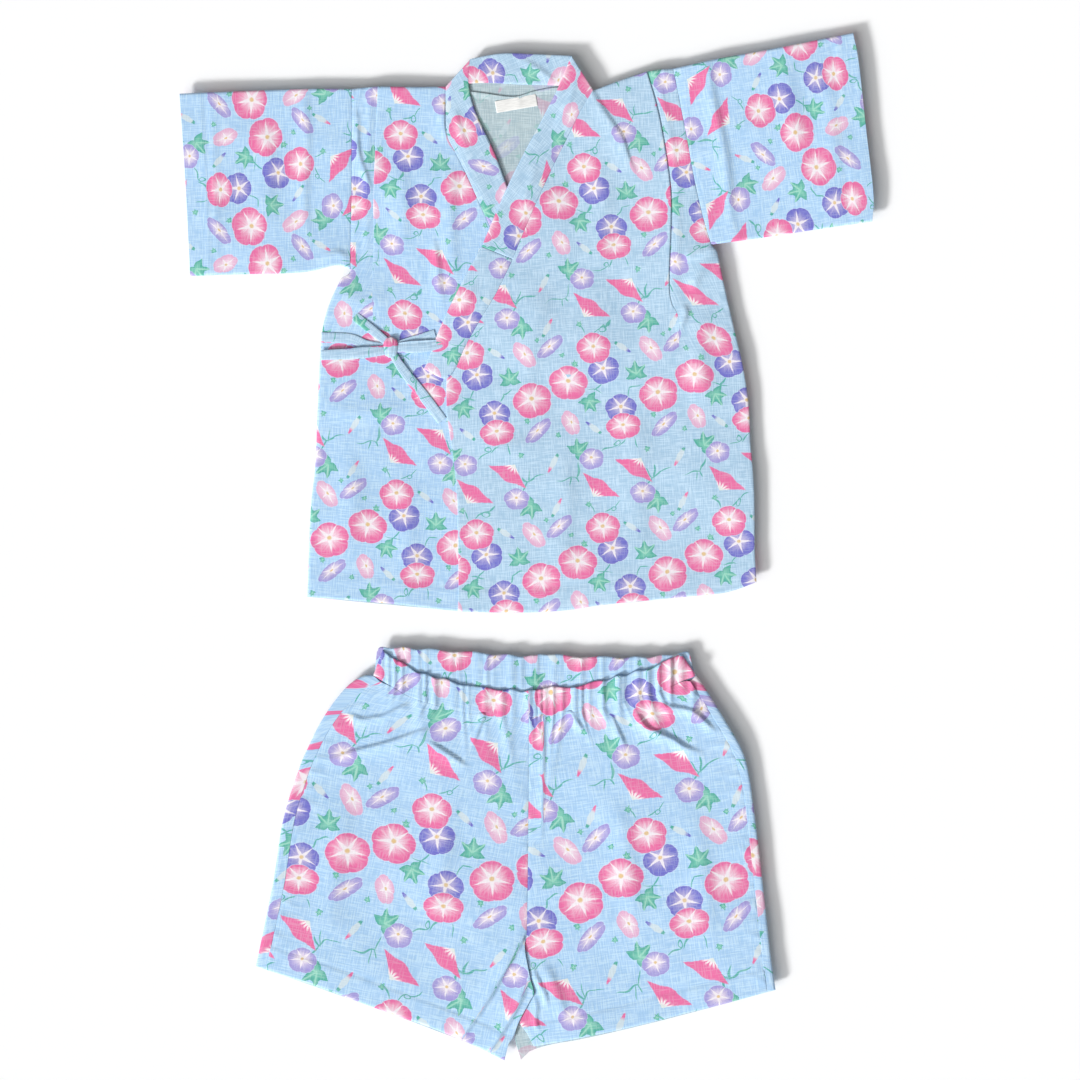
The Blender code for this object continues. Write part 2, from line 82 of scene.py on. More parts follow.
TUCK_LEFT = ((101, 398.6), (109, 371), (115, 342), (120, 308), (121.5, 282), (119.7, 224), (121.5, 205),
             (128, 186), (125, 120), (112, -44.2))
BAND_SEAM_RIGHT = ((-66.8, 386), (-67.6, 351), (-59, 331), (-51, 315), (-35, 280), (-18, 243), (6, 195),
                   (29, 149))
BAND_EDGE_RIGHT = ((-47.2, 408.6), (-48, 386), (-42.4, 364), (-27, 331), (-16, 302), (3.5, 254),
                   (27.5, 206), (50.5, 160))
FRONT_EDGE_RIGHT = ((29, 149), (36.5, 140), (36.5, 140), (34, 80), (31, 31), (30, -53.4))
BAND_SEAM_LEFT = ((55.4, 382.5), (44, 364), (34, 344), (24, 324), (8.5, 291), (-6, 257), (-12.4, 241))
BAND_EDGE_LEFT = ((37.5, 412), (26, 384), (17.6, 367.5), (7.5, 348), (-1.7, 331), (-16, 302), (-32.4, 264),
                  (-37.5, 251.5))
BAND_SEAM_LEFT_END = ((-12.4, 241), (-18, 229), (-27, 211), (-42, 186), (-53, 166), (-60, 149))
BAND_EDGE_LEFT_END = ((-37.5, 251.5), (-48.8, 232), (-65, 200), (-73, 182.5), (-86, 149))
FRONT_EDGE_LEFT = ((-60, 149), (-67, 141), (-67, 141), (-67, 122), (-66, 105), (-61.6, 76), (-58, 37),
                   (-57, -25), (-57.5, -54))
COLLAR_TOP = ((-46.6, 409.5), (-21, 414), (8, 413.4), (38, 412))
COVER_EDGE = ((-47.5, 408.5), (-16, 302), (50.5, 160), (50.5, -60))

SLEEVE_RIGHT_TOP = ((-291, 380), (-240, 382), (-186, 384), (-146.6, 384))
SLEEVE_RIGHT_FOOT = ((-282, 227), (-236, 228.4), (-188, 230), (-160, 236), (-147.9, 233))
SLEEVE_RIGHT_CUFF = ((-291, 380), (-287.5, 330), (-284.6, 280), (-282, 227))
SLEEVE_RIGHT_SEAM = ((-146.6, 384), (-146.9, 300), (-147.9, 233))
SLEEVE_LEFT_TOP = ((123.1, 401), (162, 409.5), (204, 417), (274, 431))
SLEEVE_LEFT_FOOT = ((155.1, 253.2), (171, 255.4), (204, 260), (243, 266), (290, 272.6))
SLEEVE_LEFT_SEAM = ((123.1, 401), (134.1, 345), (140.6, 309), (147.6, 278), (155.1, 253.2))
SLEEVE_LEFT_CUFF = ((274, 431), (278.5, 408), (285, 350), (291, 296), (290, 272.6))

WAIST_BACK = ((-125.6, -89), (-119, -84.6), (-79, -86.4), (-43, -89), (3, -92), (13, -89.8), (38, -92),
              (81, -93), (110.5, -92), (133, -88.8), (137, -91))
WAIST_BACK_FOOT = ((-128, -112), (-100, -122), (-43, -136), (3, -140), (60, -132), (110, -120), (142, -110))
WAIST_FRONT = ((-120.5, -86.2), (-110, -94), (-91, -105), (-72, -110.6), (-46, -117), (-36, -118.6),
               (2, -121), (13, -118.6), (41, -117), (60, -113), (84, -107), (107, -100.5), (117.5, -96),
               (130, -89.8))
WAIST_FRONT_FOOT = ((-128.6, -108), (-112, -118), (-92, -129), (-50, -140), (2, -144), (62, -136),
                    (110, -122), (130, -113), (142.6, -108.4))
HIP_RIGHT = ((-128.6, -108), (-137, -108.6), (-149, -116), (-162, -131), (-173, -148), (-183, -168),
             (-191, -187), (-204, -229), (-213, -284), (-227, -352))
HIP_LEFT = ((142.6, -108.4), (152, -122), (168, -148), (181, -171), (187, -193), (191, -222), (196, -262.5),
            (200, -299), (205, -344), (209, -372))
INSEAM = ((0.4, -318), (-1.3, -336), (3.5, -363), (6.4, -374), (3.5, -380), (-0.8, -388), (-6, -398))
INSEAM_RIGHT = INSEAM + ((-11.4, -412), (-14.8, -417), (-18.6, -431))
INSEAM_LEFT = INSEAM + ((0.8, -409), (6.4, -419.6))
INSEAM_BACK_LEFT = INSEAM + ((-9.6, -412), (-4.8, -431))
HIP_WRAP_RIGHT = ((-122.6, -113.4), (-132, -118), (-143, -126), (-155, -139), (-165.6, -154), (-175, -172),
                  (-182.6, -190), (-194.8, -231), (-203.6, -286), (-218.4, -355))
HIP_WRAP_LEFT = ((137, -113), (146, -126.6), (161.4, -151), (174, -174), (180.4, -195.6), (184.4, -223),
                 (189, -263), (193, -300), (198, -346), (201.6, -373.8))

# ---------------------------------------------------------------- heights of the layers' upper faces
TOP_BACK = 0.8
TOP_LABEL = 2.3
TOP_UNDER = 2.9
TOP_BESIDE = 3            # the over front where it lies straight on the back
TOP_BAND = 3.35
TOP_OVER = 4.6
TOP_CASING_BACK = 1.7
TOP_LEG = 3.5
TOP_CASING = 3.9
SLEEVE_DEPTH = 3.4
LOOP_LOW, LOOP_HIGH = 4.3, 5.6

# ---------------------------------------------------------------- walls that no size sets, and a gap
SEAM_WALL, LABEL_WALL, TIE_WALL, LOOP_WALL = 0.5, 0.4, 0.9, 0.7
CASING_BACK_WALL, CASING_WALL = 1, 1.1
LEG_GAP = 0.02              # from the centre seam to each leg

# ---------------------------------------------------------------- folds
# height is up, or down if negative; near and far are the widths to the left and right of the route
Crease = namedtuple("Crease", "height near far start end route")
BACK_CREASES = (
    Crease(0.5, 3, 5, 0.3, 0, ((-40, 378), (-36, 366), (-37, 350))),
    Crease(0.5, 3, 5, 0.3, 0, ((14, 382), (12, 372), (4, 360))),
)
UNDER_CREASES = (
    Crease(1.1, 2, 5, 0.5, 0, ((-142, 360), (-142, 351), (-141, 331), (-135, 312), (-128, 292))),
    Crease(0.8, 4, 7, 0, 0, ((-74, 379), (-69, 366), (-69, 340))),
    Crease(0.9, 5, 9, 0, 0, ((-62, 330), (-64, 280), (-60, 210))),
    Crease(1.3, 1.6, 5, 0, 0.3, ((-79, 262), (-75.7, 249), (-73.4, 231), (-73, 220), (-70, 206))),
    Crease(0.9, 8, 10, 0.3, 0, ((-160, 214), (-138, 205), (-112, 208))),
    Crease(0.9, 7, 12, 0, 0, ((-108, 330), (-104, 290), (-106, 240))),
    Crease(0.7, 6, 9, 0, 0, ((-172, 118), (-140, 112), (-96, 118))),
    Crease(0.8, 8, 12, 0, 0, ((-150, 90), (-146, 40), (-152, -10))),
    Crease(0.7, 8, 14, 0, 0, ((-96, 60), (-100, 10), (-92, -36))),
)
OVER_CREASES = (
    Crease(1.1, 0.9, 9, 0.9, 0, ((53, 386), (67, 363), (80, 344), (86, 326), (95, 306))),
    Crease(1.5, 2, 4.5, 0, 0.6, ((132, 204), (134, 196), (129, 184))),
    Crease(1.4, 3.5, 6, 0.8, 0, ((156, 244), (144, 228), (138, 213))),
    Crease(1.2, 3, 5, 0.6, 0, ((152, 248), (142, 245), (132, 240))),
    Crease(0.9, 8, 11, 0, 0, ((150, 205), (146, 160), (150, 110))),
    Crease(0.8, 8, 14, 0, 0, ((60, 330), (64, 280), (58, 220))),
    Crease(0.7, 9, 13, 0, 0, ((20, 230), (4, 170), (-2, 100))),
    Crease(0.8, 10, 14, 0, 0, ((96, 130), (92, 60), (98, -20))),
    Crease(0.7, 8, 12, 0, 0, ((28, 90), (34, 30), (26, -40))),
    Crease(0.6, 7, 10, 0, 0, ((-50, 90), (-20, 84), (20, 90))),
)
SLEEVE_RIGHT_CREASES = (
    Crease(0.8, 3, 7, 0.6, 0, ((-186, 383), (-184, 340), (-186, 290), (-182, 250))),
    Crease(0.45, 4, 8, 0.4, 0.4, ((-263, 381), (-262, 310), (-259, 228))),
    Crease(1.2, 2.5, 4, 0.3, 0.3, ((-172, 240), (-160, 246), (-149, 243))),
    Crease(0.8, 7, 12, 0, 0, ((-222, 360), (-216, 310), (-224, 262))),
)
SLEEVE_LEFT_CREASES = (
    Crease(1.4, 3, 8, 0.7, 0.2, ((152, 408), (156, 378), (167, 327), (172, 276), (178, 258))),
    Crease(0.8, 8, 12, 0.2, 0, ((214, 416), (222, 370), (226, 320))),
    Crease(0.7, 7, 10, 0, 0, ((250, 400), (256, 350), (262, 300))),
)
SHORTS_CREASES = (
    Crease(1.9, 1.1, 7, 0, 0, ((-171, -181), (-143, -171), (-123, -166), (-104, -160), (-88, -154),
                               (-74, -154))),
    Crease(1.5, 1.2, 7, 0, 0, ((-86, -161), (-65, -174), (-47, -186))),
    Crease(1.5, 1.2, 5, 0, 0, ((-128, -146), (-112, -138), (-97, -130))),
    Crease(1.3, 1.6, 5, 0.2, 0, ((-150, -140), (-137, -145), (-118, -141))),
    Crease(1.7, 1.1, 4, 0, 0.2, ((-109, -118), (-105, -109), (-101, -102))),
    Crease(2, 5.5, 1.2, 0, 0, ((152, -174), (133, -168), (122, -161), (102, -152), (94, -142), (87, -130))),
    Crease(1.7, 5, 1.2, 0, 0, ((162, -159), (151, -148), (139, -138), (120, -134), (104, -130))),
    Crease(1.4, 1.5, 5, 0, 0, ((69, -136), (75, -151), (85, -172))),
    Crease(1.3, 1.2, 4, 0.2, 0, ((-34, -132), (-38, -148), (-46, -168))),
    Crease(1.2, 1.2, 4, 0.2, 0, ((34, -130), (40, -144), (52, -158))),
    Crease(1, 9, 13, 0, 0, ((-60, -200), (-70, -260), (-82, -320))),
    Crease(0.9, 8, 14, 0, 0, ((-150, -210), (-160, -270), (-168, -330))),
    Crease(1, 9, 13, 0, 0, ((70, -200), (84, -260), (92, -330))),
    Crease(0.9, 9, 12, 0, 0, ((140, -220), (148, -280), (156, -340))),
    Crease(0.9, 1.1, 4, 0.4, 0.3, ((14, -124), (14.5, -180), (13, -244))),
    Crease(2.4, 1.2, 8, 0.5, 0.7, ((-3, -330), (-18, -356), (-33, -382), (-50.7, -408))),
    Crease(2.4, 1.2, 4.5, 0.3, 0.7, ((2, -364), (-8, -387), (-18, -404), (-29, -421))),
    Crease(1.1, 4, 8, 0, 0, ((12, -345), (24, -370), (34, -400))),
    Crease(1.5, 1, 3.5, 0.2, 0, ((5, -352), (10, -364), (16, -376), (19, -390))),
    Crease(1.3, 0.9, 3, 0.2, 0, ((7, -376), (9, -386), (8, -398), (12, -408))),
)
# long shallow waves that lie under every layer of the jacket and of the shorts
Wave = namedtuple("Wave", "length heading height phase")
LAY = (Wave(150, 20, 0.35, 0.4), Wave(92, 75, 0.25, 1.9), Wave(61, -38, 0.18, 3.1), Wave(37, 52, 0.1, 5),
       Wave(27, -70, 0.07, 0.9))


# ---------------------------------------------------------------- shapes of cloth
def ease(t):
    t = np.clip(t, 0, 1)
    return t * t * (3 - 2 * t)


def rounded(distance, width):
    """0 at an edge and 1 from width on, along a quarter circle."""
    k = np.clip(1 - distance / width, 0, 1)
    return np.sqrt(1 - k * k)


def run(edge, shares):
    """Points at the given shares of an edge's length, smooth between its corners."""
    parts, part = [], [edge[0]]
    for point in edge[1:]:
        if point == part[-1]:
            parts.append(part)
            part = [point]
        else:
            part.append(point)
    parts.append(part)
    fine = []
    for part in parts:
        p = np.array(part, float)
        p = np.vstack([2 * p[0] - p[1], p, 2 * p[-1] - p[-2]])
        for a, b, c, d in zip(p, p[1:], p[2:], p[3:]):
            t = np.linspace(0, 1, 12, endpoint=False)[:, None]
            bend = (2 * b + (c - a) * t + (2 * a - 5 * b + 4 * c - d) * t**2 + (3 * b - a - 3 * c + d)
                    * t**3) / 2
            fine.append(bend)
        fine.append(p[-2:-1])
    fine = np.vstack(fine)
    steps = np.hypot(*np.diff(fine, axis=0).T)
    along = np.concatenate([[0], np.cumsum(steps)])
    at = np.asarray(shares) * along[-1]
    return np.stack([np.interp(at, along, fine[:, 0]), np.interp(at, along, fine[:, 1])], axis=1)


def stations(count, length, fine=(0.35, 0.9, 1.8)):
    """Shares from 0 to 1 for a grid, with extra ones just inside both edges for a rolled edge."""
    close = np.array(fine) / length
    shares = np.concatenate([np.linspace(0, 1, count), close, 1 - close])
    shares = np.unique(np.round(shares, 6))
    keep = np.concatenate([[True], np.diff(shares) > 0.1 / length])
    return shares[keep]


FIELDS = ("x", "y", "z", "dx", "dy", "spread_x", "spread_y")


class Cloth:
    """A grid of cloth: flat places, heights above them, and where each point is on the printed length."""

    def __init__(self, top, bottom, left, right, u, v):
        tops, bottoms = run(top, u)[None], run(bottom, u)[None]
        lefts, rights = run(left, v)[:, None], run(right, v)[:, None]
        u, v = u[None, :, None], v[:, None, None]
        corners = (1 - v) * ((1 - u) * tops[:, :1] + u * tops[:, -1:])
        corners = corners + v * ((1 - u) * bottoms[:, :1] + u * bottoms[:, -1:])
        flat = (1 - v) * tops + v * bottoms + (1 - u) * lefts + u * rights - corners
        self.x, self.y = flat[..., 0].copy(), flat[..., 1].copy()
        self.z = np.zeros_like(self.x)
        self.dx, self.dy = np.zeros_like(self.x), np.zeros_like(self.x)
        self.spread_x, self.spread_y = self.x.copy(), self.y.copy()

    def beside(self, other):
        """This grid with another one joined on its right."""
        for field in FIELDS:
            setattr(self, field, np.hstack([getattr(self, field), getattr(other, field)]))
        return self

    def from_edge(self, side):
        """Distance of each point from one edge, along its row or column."""
        at = {"top": np.s_[:1], "bottom": np.s_[-1:], "left": np.s_[:, :1], "right": np.s_[:, -1:]}[side]
        return np.hypot(self.x - self.x[at], self.y - self.y[at])

    def from_sides(self):
        return np.minimum(self.from_edge("left"), self.from_edge("right"))

    def roll(self, side, drop, width=1.8):
        self.z -= drop * (1 - rounded(self.from_edge(side), width))

    def crease(self, creases, strength=1):
        for fold in creases:
            self.z += strength * fold_height(self.x, self.y, fold)

    def folds(self, creases):
        return sum(fold_height(self.x, self.y, fold) for fold in creases)

    def lay(self):
        self.z += wave_height(self.x, self.y)

    def hem(self, side, depth, fold=0.35):
        """A turned hem: thicker to its row of stitches, which pulls the cloth in."""
        away = self.from_edge(side)
        self.z += fold * (1 - ease((away - depth) / 2.5 + 0.5))
        self.z -= 0.45 * np.exp(-((away - depth) / 0.9) ** 2)


def wave_height(x, y):
    total = np.zeros_like(x) + sum(wave.height for wave in LAY)
    for wave in LAY:
        heading = radians(wave.heading)
        along = x * cos(heading) + y * sin(heading)
        across = y * cos(heading) - x * sin(heading)
        bend = 0.9 * np.sin(across / wave.length * 3.1 + wave.phase)
        total += wave.height * np.sin(2 * pi * along / wave.length + wave.phase + bend)
    return total


def fold_height(x, y, fold):
    """A soft ridge along a route, tapering to its start and end shares of the full height."""
    line = run(fold.route, np.linspace(0, 1, 25))
    nearest = np.full(x.shape, 1e9)
    signed = np.zeros_like(x)
    share = np.zeros_like(x)
    for number, (a, b) in enumerate(zip(line, line[1:])):
        ux, uy = b - a
        size = ux * ux + uy * uy
        t = np.clip(((x - a[0]) * ux + (y - a[1]) * uy) / size, 0, 1)
        px, py = x - a[0] - t * ux, y - a[1] - t * uy
        away = px * px + py * py
        closer = away < nearest
        nearest = np.where(closer, away, nearest)
        signed = np.where(closer, np.sign(ux * py - uy * px), signed)
        share = np.where(closer, (number + t) / (len(line) - 1), share)
    width = np.where(signed > 0, fold.near, fold.far)
    taper = np.minimum(fold.start + (1 - fold.start) * ease(share / 0.3), fold.end + (1 - fold.end)
                       * ease((1 - share) / 0.3))
    return fold.height * taper * np.exp(-nearest / (width * width))


def printed_at(cloth, phase):
    """The cloth's place on its printed length, in metres: anchor is where a chart's first flower lies."""
    c, s = cos(radians(phase.turn)), sin(radians(phase.turn))
    x, y = cloth.spread_x - phase.anchor[0], cloth.spread_y - phase.anchor[1]
    return np.stack([(x * c + y * s) / phase.scale, (y * c - x * s) / phase.scale], axis=-1) * MM


def mesh_of(name, bm):
    mesh = bpy.data.meshes.new(name)
    bm.to_mesh(mesh)
    bm.free()
    return mesh


def placed(name, data):
    """A new object of a mesh, light or camera, in the scene."""
    thing = bpy.data.objects.new(name, data)
    bpy.context.scene.collection.objects.link(thing)
    return thing


def carried(piece, node):
    """Put the piece on the root body, and hide the solid that it stands for."""
    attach(piece, "root")
    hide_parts(node)
    return piece


def sew(name, node, cloth, phase, sides, wall=None, weld=False):
    """Make the piece: a grid moved to the cloth's places, its UV map, its wall and its stand-in.

    phase places the print, or is each point's place on it; sides are the finishes over and under.
    """
    rows, columns = cloth.x.shape
    bm = bmesh.new()
    bmesh.ops.create_grid(bm, x_segments=columns - 1, y_segments=rows - 1, size=1)
    places = np.stack([cloth.x + cloth.dx, cloth.y + cloth.dy, cloth.z], axis=-1)[::-1].reshape(-1, 3) * MM
    for vertex, place in zip(bm.verts, places):
        vertex.co = place
    mesh = mesh_of(name, bm)
    uv = printed_at(cloth, phase) if isinstance(phase, Phase) else phase
    corner = np.zeros(len(mesh.loops), dtype=np.int32)
    mesh.loops.foreach_get("vertex_index", corner)
    layer = mesh.uv_layers.new(name="cloth")
    layer.uv.foreach_set("vector", uv[::-1].reshape(-1, 2)[corner].astype(np.float32).ravel())
    if weld:
        bm = bmesh.new()
        bm.from_mesh(mesh)
        bmesh.ops.remove_doubles(bm, verts=bm.verts[:], dist=0.00002)
        bm.to_mesh(mesh)
        bm.free()
    mesh.shade_smooth()
    for side in sides:
        mesh.materials.append(finishes()[side])
    piece = placed(name, mesh)
    shell = piece.modifiers.new("Wall", "SOLIDIFY")
    shell.thickness = (wall or sizes().wall / MM) * MM
    shell.offset = -1
    shell.use_quality_normals = True
    shell.material_offset = int(sides[0] != sides[1])
    return carried(piece, node)


def whole(top, right, bottom, left):
    """The outline that four edges make, for a cut's size."""
    top, right, bottom, left = (run(edge, np.linspace(0, 1, 40)) for edge in (top, right, bottom, left))
    return np.vstack([top, right, bottom[::-1], left[::-1]])


def cut_size(outline):
    """The flat rectangle that a cut piece needs and its area, from its outline in millimetres."""
    x, y = outline.T
    area = abs(np.dot(x, np.roll(y, -1)) - np.dot(y, np.roll(x, -1))) / 2
    return (np.ptp(x) * MM, np.ptp(y) * MM), area * MM * MM


def declare(outline, share=1):
    """Work out a laid sheet's flat size and area from its cut's outline, and keep neither; share is the
    cut's area over the outline's.
    """
    flat, area = cut_size(outline)
    flat = (flat[0], flat[1] * share)


# ---------------------------------------------------------------- the print's chart
# Millimetres from the first flower of a repeat, y up; turn is anticlockwise, in degrees.
Motif = namedtuple("Motif", "kind colour x y width height turn")
REPEAT = (106, 151)
FLOWER, TRUMPET, BUD, LEAF = 0, 1, 2, 1
PINK, PALE, LILAC, PURPLE, GREEN = 0, 1, 2, 3, 4
BEHIND = (
    Motif(LEAF, GREEN, -6.5, -43.5, 24.1, 21.3, -60),
    Motif(LEAF, GREEN, 34.5, -23.5, 24.1, 22.7, 95),
    Motif(LEAF, GREEN, -18, -86, 25.6, 24.1, 40),
    Motif(LEAF, GREEN, 47, -129, 27, 24.1, -140),
    Motif(LEAF, GREEN, -16.5, -13.2, 9.4, 7.5, 95),
    Motif(LEAF, GREEN, 47, -57.5, 8.1, 6.2, -75),
    Motif(LEAF, GREEN, -27, -4, 6.2, 6.2, -70),
    Motif(LEAF, GREEN, 50, -52.5, 6.9, 6.2, 70),
    Motif(LEAF, GREEN, 58.5, 8.8, 6.9, 5, 50),
    Motif(LEAF, GREEN, -33, -71, 6.9, 6.2, 200),
    Motif(LEAF, GREEN, -11.5, -131, 8.1, 6.2, 60),
    Motif(LEAF, GREEN, 40.5, -86, 8.1, 6.2, -110),
    Motif(FLOWER, PURPLE, 7.6, -18.5, 28, 25, 12),
    Motif(FLOWER, PURPLE, 20.2, -51.5, 28, 25, -6),
)
BEFORE = (
    Motif(TRUMPET, PINK, -2.2, -118, 24.5, 43, 54),
    Motif(TRUMPET, PINK, 30.4, -100.6, 24.5, 43, -124),
    Motif(FLOWER, PINK, -22.8, -28, 34.5, 30, -12),
    Motif(FLOWER, PINK, 52.4, -41.2, 34.5, 31, 10),
    Motif(FLOWER, LILAC, -6.5, -92.5, 21.5, 19, 8),
    Motif(FLOWER, LILAC, 34.8, -123, 22.5, 19, -5),
    Motif(FLOWER, PINK, 21.6, -66.6, 31, 23, 4),
    Motif(FLOWER, LILAC, -36.5, 3, 28.5, 12, 38),
    Motif(FLOWER, LILAC, 56, -66.8, 29.5, 12, 41),
    Motif(FLOWER, PALE, 47.5, -2.8, 27, 14.5, -52),
    Motif(FLOWER, PALE, -22.6, -61.5, 23, 14.5, -66),
    Motif(FLOWER, PINK, 0, 0, 30.5, 27, 0),
    Motif(BUD, PINK, -38, -132, 19, 5.6, 60),
    Motif(BUD, PINK, -39, -94.5, 19, 5.6, -121),
    Motif(BUD, PURPLE, -3.6, -66.5, 17.5, 5.6, 140),
    Motif(BUD, PURPLE, 24.3, -0.4, 17.5, 5.6, -34),
)
# tendrils, stems and twigs: start x, y, end x, y and width
STROKES = ((15.9, 22.4, 10.6, 18.3, 0.9), (8, 18, 1.8, 13.6, 0.9), (-10, 20, -7.1, 13.6, 1),
           (37.7, 31.8, 43.3, 41.8, 0.9), (43.3, 41.8, 51, 44.6, 1.1), (51, 44.6, 59.5, 46.6, 0.8),
           (46, 49.9, 44.6, 41.8, 1), (40.1, 47.1, 43.3, 41.8, 1), (4.1, -28.9, 0, -36.5, 1),
           (-6, -34.8, 4.1, -37.2, 0.8), (36.5, -33, 28.9, -34.2, 0.9), (28.9, -34.2, 26.5, -40.7, 0.9),
           (4, -86.8, 12.9, -83.3, 0.9), (15.2, -83.4, 20, -78.5, 0.9), (-17.8, -97.4, -20.7, -106.4, 0.9),
           (-21, -106.8, -36, -109.8, 1), (-24.2, -108, -24.8, -114.5, 1), (-21.3, -106.8, -19, -111.2, 1),
           (29.4, -77.8, 31.8, -84.4, 1),)
CURLS = ((9.2, 16.6), (13.4, -80.7))


class Weaver:
    """A material's node tree, with a short call for each kind of node."""

    def __init__(self, name):
        self.material = bpy.data.materials.new(name)
        self.material.use_nodes = True
        self.tree = self.material.node_tree
        self.tree.nodes.clear()

    def node(self, kind, inputs=(), out=0, **settings):
        node = self.tree.nodes.new("ShaderNode" + kind)
        for key, value in settings.items():
            setattr(node, key, value)
        for key, value in dict(inputs).items():
            socket = node.inputs[key]
            if isinstance(value, bpy.types.NodeSocket):
                self.tree.links.new(value, socket)
            elif value is not None:
                socket.default_value = value
        return node.outputs[out]

    def finish(self, shader):
        output = self.tree.nodes.new("ShaderNodeOutputMaterial")
        self.tree.links.new(shader, output.inputs["Surface"])
        return self.material

    def math(self, operation, a, b=None, c=None, clamp=False):
        return self.node("Math", {0: a, 1: b, 2: c}, operation=operation, use_clamp=clamp)

    def times(self, a, b):
        return self.math("MULTIPLY", a, b)

    def scaled(self, value, by, plus, clamp=False):
        return self.math("MULTIPLY_ADD", value, by, plus, clamp)

    def size(self, value):
        return self.math("ABSOLUTE", value)

    def vector(self, operation, a, b=None, c=None, out=0):
        inputs = {0: a, 3: b} if operation == "SCALE" else {0: a, 1: b, 2: c}
        return self.node("VectorMath", inputs, out, operation=operation)

    def length(self, value):
        return self.vector("LENGTH", value, out=1)

    def flat(self, spot):
        """The spot without the code in its z."""
        return self.vector("MULTIPLY", spot, (1, 1, 0))

    def near(self, where, x, y):
        """The place brought within half a repeat of a point."""
        return self.vector("WRAP", where, (x + REPEAT[0] / 2, y + REPEAT[1] / 2, 0),
                           (x - REPEAT[0] / 2, y - REPEAT[1] / 2, 0))

    def pick(self, share, a, b):
        """Vector a, or b where share is 1."""
        return self.node("Mix", {0: share, 4: a, 5: b}, 1, data_type="VECTOR")

    def blend(self, share, a, b, how="MIX"):
        """Colour a, or b where share is 1."""
        a = (*a, 1) if isinstance(a, tuple) and len(a) == 3 else a
        b = (*b, 1) if isinstance(b, tuple) and len(b) == 3 else b
        return self.node("Mix", {0: share, 6: a, 7: b}, 2, data_type="RGBA", blend_type=how)

    def step(self, value, low, high):
        """0 up to low and 1 from high on, smooth between; falling where high is below low."""
        ends = {1: low, 2: high, 3: 0, 4: 1} if low < high else {1: high, 2: low, 3: 1, 4: 0}
        return self.node("MapRange", {0: value, **ends}, interpolation_type="SMOOTHSTEP")

    def noise(self, where, scale, detail=0, out=0):
        return self.node("TexNoise", {"Vector": where, "Scale": scale, "Detail": detail}, out,
                         noise_dimensions="2D")

    def mapped(self, where, place=(0, 0, 0), turn=0, scale=(1, 1, 1), kind="POINT"):
        return self.node("Mapping", {"Vector": where, "Location": place, "Rotation": (0, 0, turn),
                                     "Scale": scale}, vector_type=kind)

    def split(self, value):
        node = self.tree.nodes.new("ShaderNodeSeparateXYZ")
        self.tree.links.new(value, node.inputs[0])
        return node.outputs

    def motifs(self, where, chart):
        """The place inside the motif that lies here, 1 at its outline, with kind and colour in z."""
        chosen = (9, 9, 0)
        for motif in chart:
            near = self.near(where, motif.x, motif.y)
            code = (motif.kind * 5 + motif.colour) * 0.001
            local = self.mapped(near, (motif.x, motif.y, -code), radians(motif.turn),
                                (motif.width / 2, motif.height / 2, 1), "TEXTURE")
            inside = self.math("LESS_THAN", self.length(local), 1)
            chosen = self.pick(inside, chosen, local)
        return chosen

    def flower(self, spot, code, dyes):
        """Colour and cover of a flower: lobes, a rim that pales to a star, and a yellow dot."""
        x, y, _ = self.split(spot)
        radius = self.length(self.flat(spot))
        angle = self.math("ARCTAN2", y, x)
        lobes = self.size(self.math("SINE", self.scaled(angle, 2.5, 0.5)))
        outline = self.scaled(self.math("POWER", lobes, 0.5), 0.13, 0.87)
        depth = self.math("DIVIDE", radius, outline)
        star = self.vector("ADD", self.flat(spot), (0.02, -0.12, 0))
        star_x, star_y, _ = self.split(star)
        away = self.length(star)
        ray_angle = self.math("PINGPONG", self.math("ADD", self.math("ARCTAN2", star_y, star_x), 0.25),
                              pi / 5)
        across = self.times(away, self.math("SINE", ray_angle))
        ray = self.scaled(away, -0.15, 0.128)
        ray = self.step(self.math("SUBTRACT", ray, across), -0.022, 0.03)
        fans = self.noise(self.node("CombineXYZ", {0: self.times(angle, 3.2), 1: self.times(radius, 0.9)}),
                          2.2, 0)
        glow = self.math("ADD", self.scaled(fans, 0.36, -0.18), away)
        glow = self.times(self.step(glow, 0.84, 0.14), 0.8)
        deep = self.math("COMPARE", code, float(PURPLE), 0.5)
        glow = self.times(glow, self.scaled(deep, -0.45, 1))
        rim = self.dyed(self.times(code, 1 / 5), dyes)
        petal = self.blend(glow, rim, tint("#F8E9F1"))
        rim_deep = self.times(self.step(depth, 0.72, 0.96), 0.35)
        petal = self.blend(rim_deep, petal, self.blend(1, rim, (0.86, 0.8, 0.93), "MULTIPLY"))
        petal = self.blend(self.times(ray, 0.92), petal, tint("#F7EFF4"))
        petal = self.blend(self.step(away, 0.15, 0.07), petal, tint("#E6C490"))
        return petal, depth

    def dyed(self, share, dyes):
        """The dye whose number, over the number of dyes, is share."""
        ramp = self.node("ValToRGB", {0: share})
        stops = ramp.node.color_ramp
        stops.interpolation = "CONSTANT"
        stops.elements.remove(stops.elements[1])
        stops.elements[0].position = 0
        stops.elements[0].color = (*dyes[0], 1)
        for number, dye in enumerate(dyes[1:], 1):
            stops.elements.new((number - 0.5) / len(dyes)).color = (*dye, 1)
        return ramp

